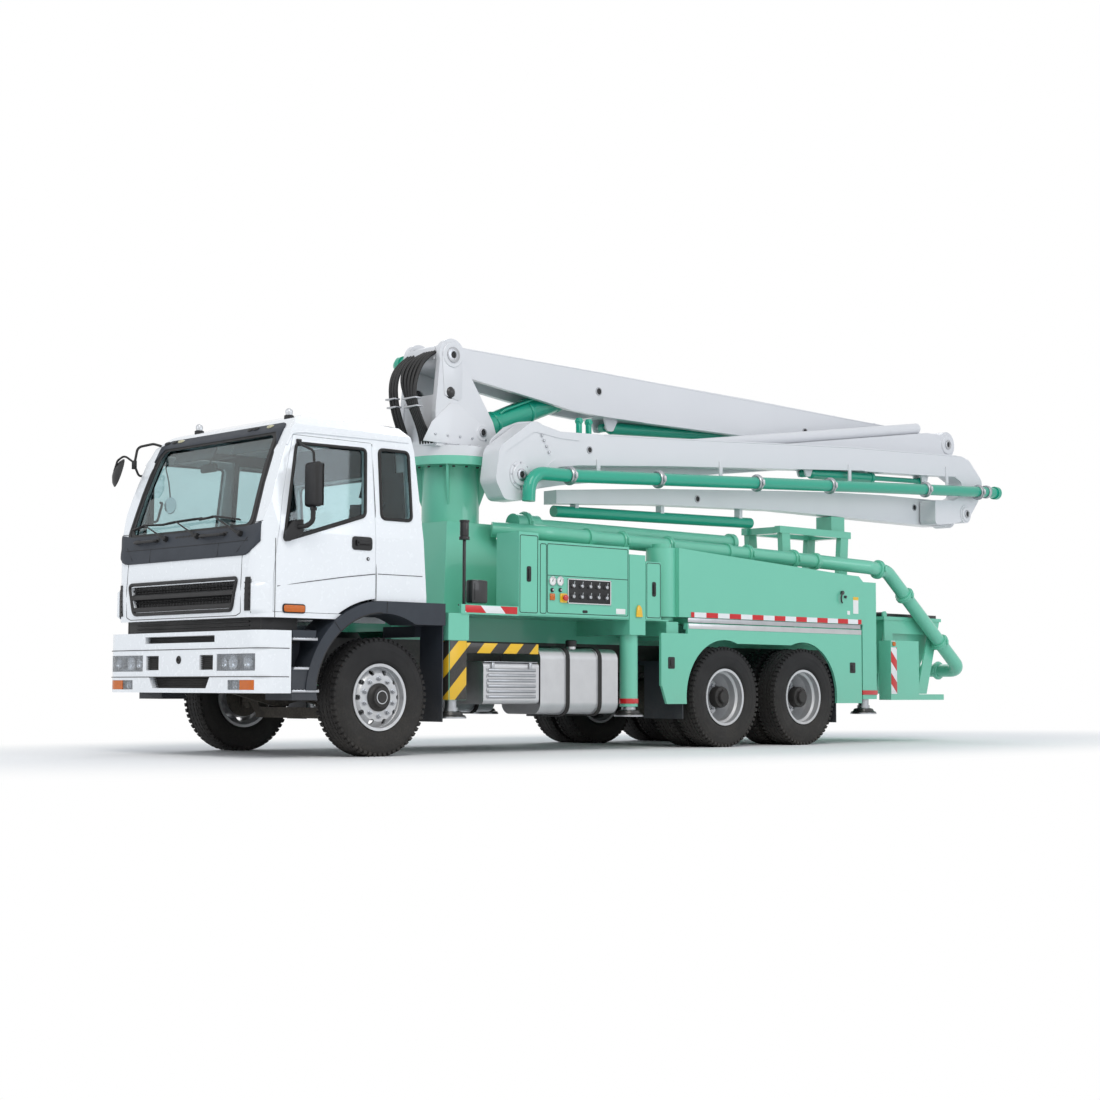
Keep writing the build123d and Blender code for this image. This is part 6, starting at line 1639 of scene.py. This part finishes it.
# ---- turret and boom -----------------------------------------------------------------------
def pin_end(pin, x, side, radius, seat):
    """The end of a boom pin: a raised seat, a steel ring, and a black disc in the pin's hollow end as painted
    shade.
    """
    centre = at(x, *pin)
    out = (side, 0, 0)
    rim = turned([(-0.01, radius), (-0.01, seat), (0.010, seat), (0.016, seat - 0.006), (0.016, radius)],
                 centre, out, 40)
    steel = turned([(-0.01, 0.030), (-0.01, radius), (0.026, radius), (0.030, radius - 0.006), (0.030, 0.036),
                    (0.02, 0.030)], centre, out, 40)
    # a black disc in the pin's hollow end: painted shade
    bore_shade = bar(centre, centre + Vector((side * 0.018, 0, 0)), 0.031)
    finish_each((rim, BOOM), (steel, STEEL), (bore_shade, BLACK_PLASTIC))
    return [rim, steel, bore_shade]


def rimmed_hole(s, z, x, side, radius=0.034):
    """A round hole with a proud rim, and a black disc in it as painted shade."""
    centre = at(x, s, z)
    rim = turned([(-0.002, radius), (-0.002, radius + 0.012), (0.008, radius + 0.010), (0.008, radius)],
                 centre, (side, 0, 0), 28)
    # a black disc in the hole: painted shade
    dark = bar(centre - Vector((side * 0.001, 0, 0)), centre + Vector((side * 0.003, 0, 0)), radius, edge=0)
    finish_each((rim, STEEL), (dark, BLACK_PLASTIC))
    return [rim, dark]


def make_turret():
    """Ear plates, pin ends, the ball in each ear, and the table's bolts."""
    parts = []
    for side in SIDES:
        parts += pin_end(ROOT_PIN, side * EAR_X, side, 0.078, 0.125)
        parts += pin_end(RAM_PIN, side * EAR_X, side, 0.045, 0.082)
        cheek = side_plate([(2.79, 3.88), (2.82, 3.50), (3.0, 3.46), (3.05, 3.50), (3.05, 3.90), (2.98, 4.03),
                            (2.85, 4.03)], side * 0.279, side * 0.010, 0.004)
        slope = side_plate([(2.55, 3.02), (3.62, 3.02), (3.40, 3.20), (3.00, 3.43), (2.90, 3.43),
                            (2.66, 3.22)], side * 0.279, side * 0.012, 0.005)
        finished([cheek, slope], BOOM)
        parts += [cheek, slope]
        ball = turned([(-0.068, 0.0), (-0.06, 0.035), (-0.03, 0.062), (0, 0.068), (0.03, 0.062),
                       (0.06, 0.035), (0.068, 0)], at(side * 0.25, 2.90, 3.535), (0, 0, 1), 28)
        finished(ball, BLACK_PAINT)
        parts.append(ball)
        heads = bolts([at(side * 0.291, s, z) for s, z in ((2.70, 3.10), (2.86, 3.10), (3.02, 3.10),
                                                           (3.18, 3.10), (3.36, 3.10))], (side, 0, 0), 0.013)
        finished(heads, STEEL)
        parts += heads
    heads = []
    for n in range(24):
        turn = 2 * math.pi * n / 24
        heads += bolts([at(0.43 * math.sin(turn), SLEW + 0.43 * math.cos(turn), 3.0)], (0, 0, 1), 0.014,
                       0.014)
    finished(heads, STEEL)
    fit("turret_fittings", parts + heads, "turret")


def make_boom_hoses():
    """The hoses that climb over the turret's ears, with their clips and end plates."""
    hoses, clips = [], []
    for n in range(5):
        x = 0.06 + 0.042 * n
        bow = 0.018 * (n - 2)
        hoses.append(hose([at(x, 2.715, 3.02), at(x, 2.66 - bow, 3.15), at(x * 0.96, 2.52 - bow, 3.40),
                           at(x * 0.9, 2.47 + bow, 3.62),
                           at(x * 0.9, 2.56 + bow, 3.82), at(x * 0.92, 2.70, 3.90),
                           at(x * 0.95, 2.755, 3.93)], 0.019))
    for n in range(3):
        x = -0.20 + 0.045 * n
        route = ((2.715, 3.02), (2.60, 3.22), (2.50, 3.50), (2.55, 3.78), (2.70, 3.88), (2.755, 3.92))
        hoses.append(hose([at(x, s, z) for s, z in route], 0.019))
    for s, z in ((2.535, 3.36), (2.515, 3.44)):
        clips.append(box((0.035, 0.245), (s - 0.035, s + 0.045), (z, z + 0.018), 0.006))
        clips.append(box((-0.23, -0.085), (s - 0.035, s + 0.045), (z + 0.02, z + 0.038), 0.006))
    plate_up = box((-0.22, 0.24), (2.70, 2.732), (3.0, 3.05), 0.004)
    top = box((-0.205, 0.205), (2.745, 2.775), (3.86, 3.98), 0.004)
    finish_each((hoses, HOSE), (clips, STEEL), (plate_up, BOOM))
    fit("boom_hoses", hoses + clips + [plate_up], "turret")
    fit("boom_hose_plate", [top], "turret", BOOM)


def make_boom_1_and_2():
    """Pin ends, holes, flange lips and the small pipes on top."""
    one = pin_end(PIN_1_2, -0.212, RIGHT, 0.06, 0.12)
    for s, z in ((5.05, 3.79), (8.548, 3.69)):
        for side in SIDES:
            one += rimmed_hole(s, z, side * 0.2105, side)
    lips = []
    edges = (((3.2, 4.009), (5.04, 3.995)), ((5.04, 3.995), (10.8, 3.905)),
             ((5.75, 3.527), (8.42, 3.547)), ((8.42, 3.547), (10.4, 3.603)))
    for side in SIDES:
        for first, last in edges:
            lips.append(bar(at(side * 0.205, *first), at(side * 0.205, *last), 0.009, sides=10))
    for n in range(3):
        route = [at(-0.12 + 0.06 * n, s, z) for s, z in ((3.10, 4.06), (3.3, 4.036), (10.6, 3.935))]
        lips.append(pipe(route, 0.013, bend=0.05, sides=3))
    for n in range(9):
        s = 3.6 + 0.82 * n
        lips.append(box((-0.16, 0.04), (s - 0.02, s + 0.02),
                        (4.0 - 0.0118 * (s - 3.2) - 0.005, 4.062 - 0.0128 * (s - 3.2)), 0.004, 1))
    finished(lips, BOOM)
    fit("boom_1_fittings", one + lips, "boom_1")

    fit("boom_2_fittings", pin_end(PIN_1_2, 0.502, LEFT, 0.06, 0.12), "boom_2")


def make_boom_3_and_4():
    """Pin ends, holes, bolts, edge lines, stays, and the clamps of the concrete line."""
    three = pin_end(PIN_2_3, BOOM_3_X, LEFT, 0.06, 0.11)
    three += pin_end(PIN_3_4, BOOM_3_X, LEFT, 0.05, 0.09)
    three += rimmed_hole(4.377, 3.05, 0.7505, LEFT, 0.028)
    heads = bolts([at(0.757, s, z) for s, z in ((3.70, 3.135), (3.73, 3.085), (3.765, 3.03), (3.80, 2.975))],
                  (1, 0, 0), 0.015, 0.012)
    rings = [2 * math.pi * n / 8 for n in range(8)]
    heads += bolts([at(0.758, 3.41 + 0.123 * math.cos(a), 2.715 + 0.123 * math.sin(a)) for a in rings],
                   (1, 0, 0), 0.010, 0.008)
    edge = []
    for points in (((9.0, 3.213), (10.25, 3.263), (10.9, 3.297)),
                   ((4.6, 3.224), (5.632, 3.281), (8.72, 3.469), (10.9, 3.557))):
        edge.append(pipe([at(0.748, s, z) for s, z in points], 0.008, bend=0.1, sides=2))
    stays = []
    for s in (4.374, 4.513):
        stays.append(box((0.575, 0.625), (s - 0.022, s + 0.022), (3.205, 3.395), 0.004))
        stays.append(bar(at(0.565, s, 3.36), at(0.635, s, 3.36), 0.026))
    finish_each((heads, STEEL), (edge, BOOM), (stays, GREEN))
    fit("boom_3_fittings", three + heads + edge + stays, "boom_3")

    clamps = []
    line = ((3.9995, 2.746, 0.018), (5.3, 2.812, 0.0515), (6.9, 2.896, 0.053), (8.2, 2.965, 0.053),
            (10.083, 3.062, 0.051), (11.223, 3.112, 0.051))
    for s, z, rise in line:
        clamps += coupling(at(LINE_3_X, s, z), (0, 1, rise), 0.064)
    clamps.append(ring_on(at(LINE_3_X, 11.40, 3.13), (0, 1, 0), 0.064, 0.05, 0.02))
    fit("boom_line_3_clamps", clamps, "boom_3", STEEL)
    four = rimmed_hole(6.3, 2.70, 0.5005, LEFT, 0.03)
    four += rimmed_hole(10.341, 2.881, 0.5005, LEFT, 0.03)
    four += pin_end(PIN_3_4, 0.311, RIGHT, 0.05, 0.11)
    under = [box((0.34, 0.47), (8.70, 8.85), (2.668, 2.680), 0.004)]
    finished(under, STEEL)
    fit("boom_4_fittings", four + under, "boom_4")


def make_lift_ram():
    """Collars and the small pipe on the lift cylinder."""
    barrel, run = at(0, *RAM_PIN), (at(0, 4.9, 3.79) - at(0, *RAM_PIN)).normalized()
    collars = [ring_on(barrel + run * d, run, 0.122, 0.04, 0.012) for d in (0.42, 0.92, 1.36)]
    tube = [pipe([barrel + run * 0.45 + Vector((0.09, 0, 0.09)),
                  barrel + run * 0.5 + Vector((0.11, 0, 0.115)),
                  barrel + run * 1.28 + Vector((0.11, 0, 0.115)),
                  barrel + run * 1.33 + Vector((0.08, 0, 0.085))], 0.014, bend=0.04)]
    fit("lift_ram_fittings", collars + tube, "lift_barrel", GREEN)


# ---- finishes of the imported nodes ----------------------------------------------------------
NODE_FINISH = {
    "chassis_rails": DARK_FRAME, "axles": CAST, "engine": CAST, "cab_shell": WHITE, "cab_glass": GLASS,
    "cab_interior": CABIN, "cab_trim": GREY_PLASTIC, "bumper": WHITE, "lamps": CLEAR_LENS,
    "fenders": GREY_PLASTIC, "tanks": TANK, "deck": MINT, "body_sides": MINT, "hopper": MINT,
    "hopper_grate": BLACK_PAINT, "pump_unit": MINT, "deck_lines": MINT, "tie_rod": CAST, "turret": BOOM,
    "turret_line": GREEN, "lift_barrel": GREEN, "lift_rod": CHROME, "fold_ram_1": GREEN,
    "fold_ram_3": GREEN,
}
for number in (1, 2, 3, 4):
    NODE_FINISH[f"boom_{number}"] = BOOM
    NODE_FINISH[f"boom_line_{number}"] = GREEN
NODE_FINISH["boom_line_2"] = BOOM
for hand, side in HANDS:
    NODE_FINISH.update({
        f"door_{hand}": WHITE, f"door_glass_{hand}": GLASS, f"outrigger_arm_{hand}": MINT,
        f"knuckle_{hand}": CAST, f"rim_front_{hand}": SILVER_PAINT, f"tyre_front_{hand}": TREAD,
        f"foot_front_{hand}": STEEL, f"foot_middle_{hand}": STEEL, f"foot_rear_{hand}": STEEL,
        f"door_trim_{hand}": BLACK_PLASTIC,
    })
    for number in (1, 2):
        NODE_FINISH[f"rims_rear_{number}_{hand}"] = SILVER_PAINT
        NODE_FINISH[f"tyres_rear_{number}_{hand}"] = TREAD
for node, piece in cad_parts.items():
    finished(piece, NODE_FINISH[node])

bpy.context.scene.view_settings.view_transform = "Standard"
for build in (aim_camera, light_studio, lay_floor, make_wheels, make_screen, make_wipers, make_grille,
              make_corner_vents, make_gutters, make_doors, make_mirrors, make_bumper, make_lamps,
              make_steps, make_seats, make_dash, make_steering_wheel, make_cab_fittings, make_lining,
              make_markings, make_controls, make_body_seams, make_underside, make_pipework,
              make_deck_fittings, make_turret, make_boom_hoses, make_boom_1_and_2, make_boom_3_and_4,
              make_lift_ram):
    build()
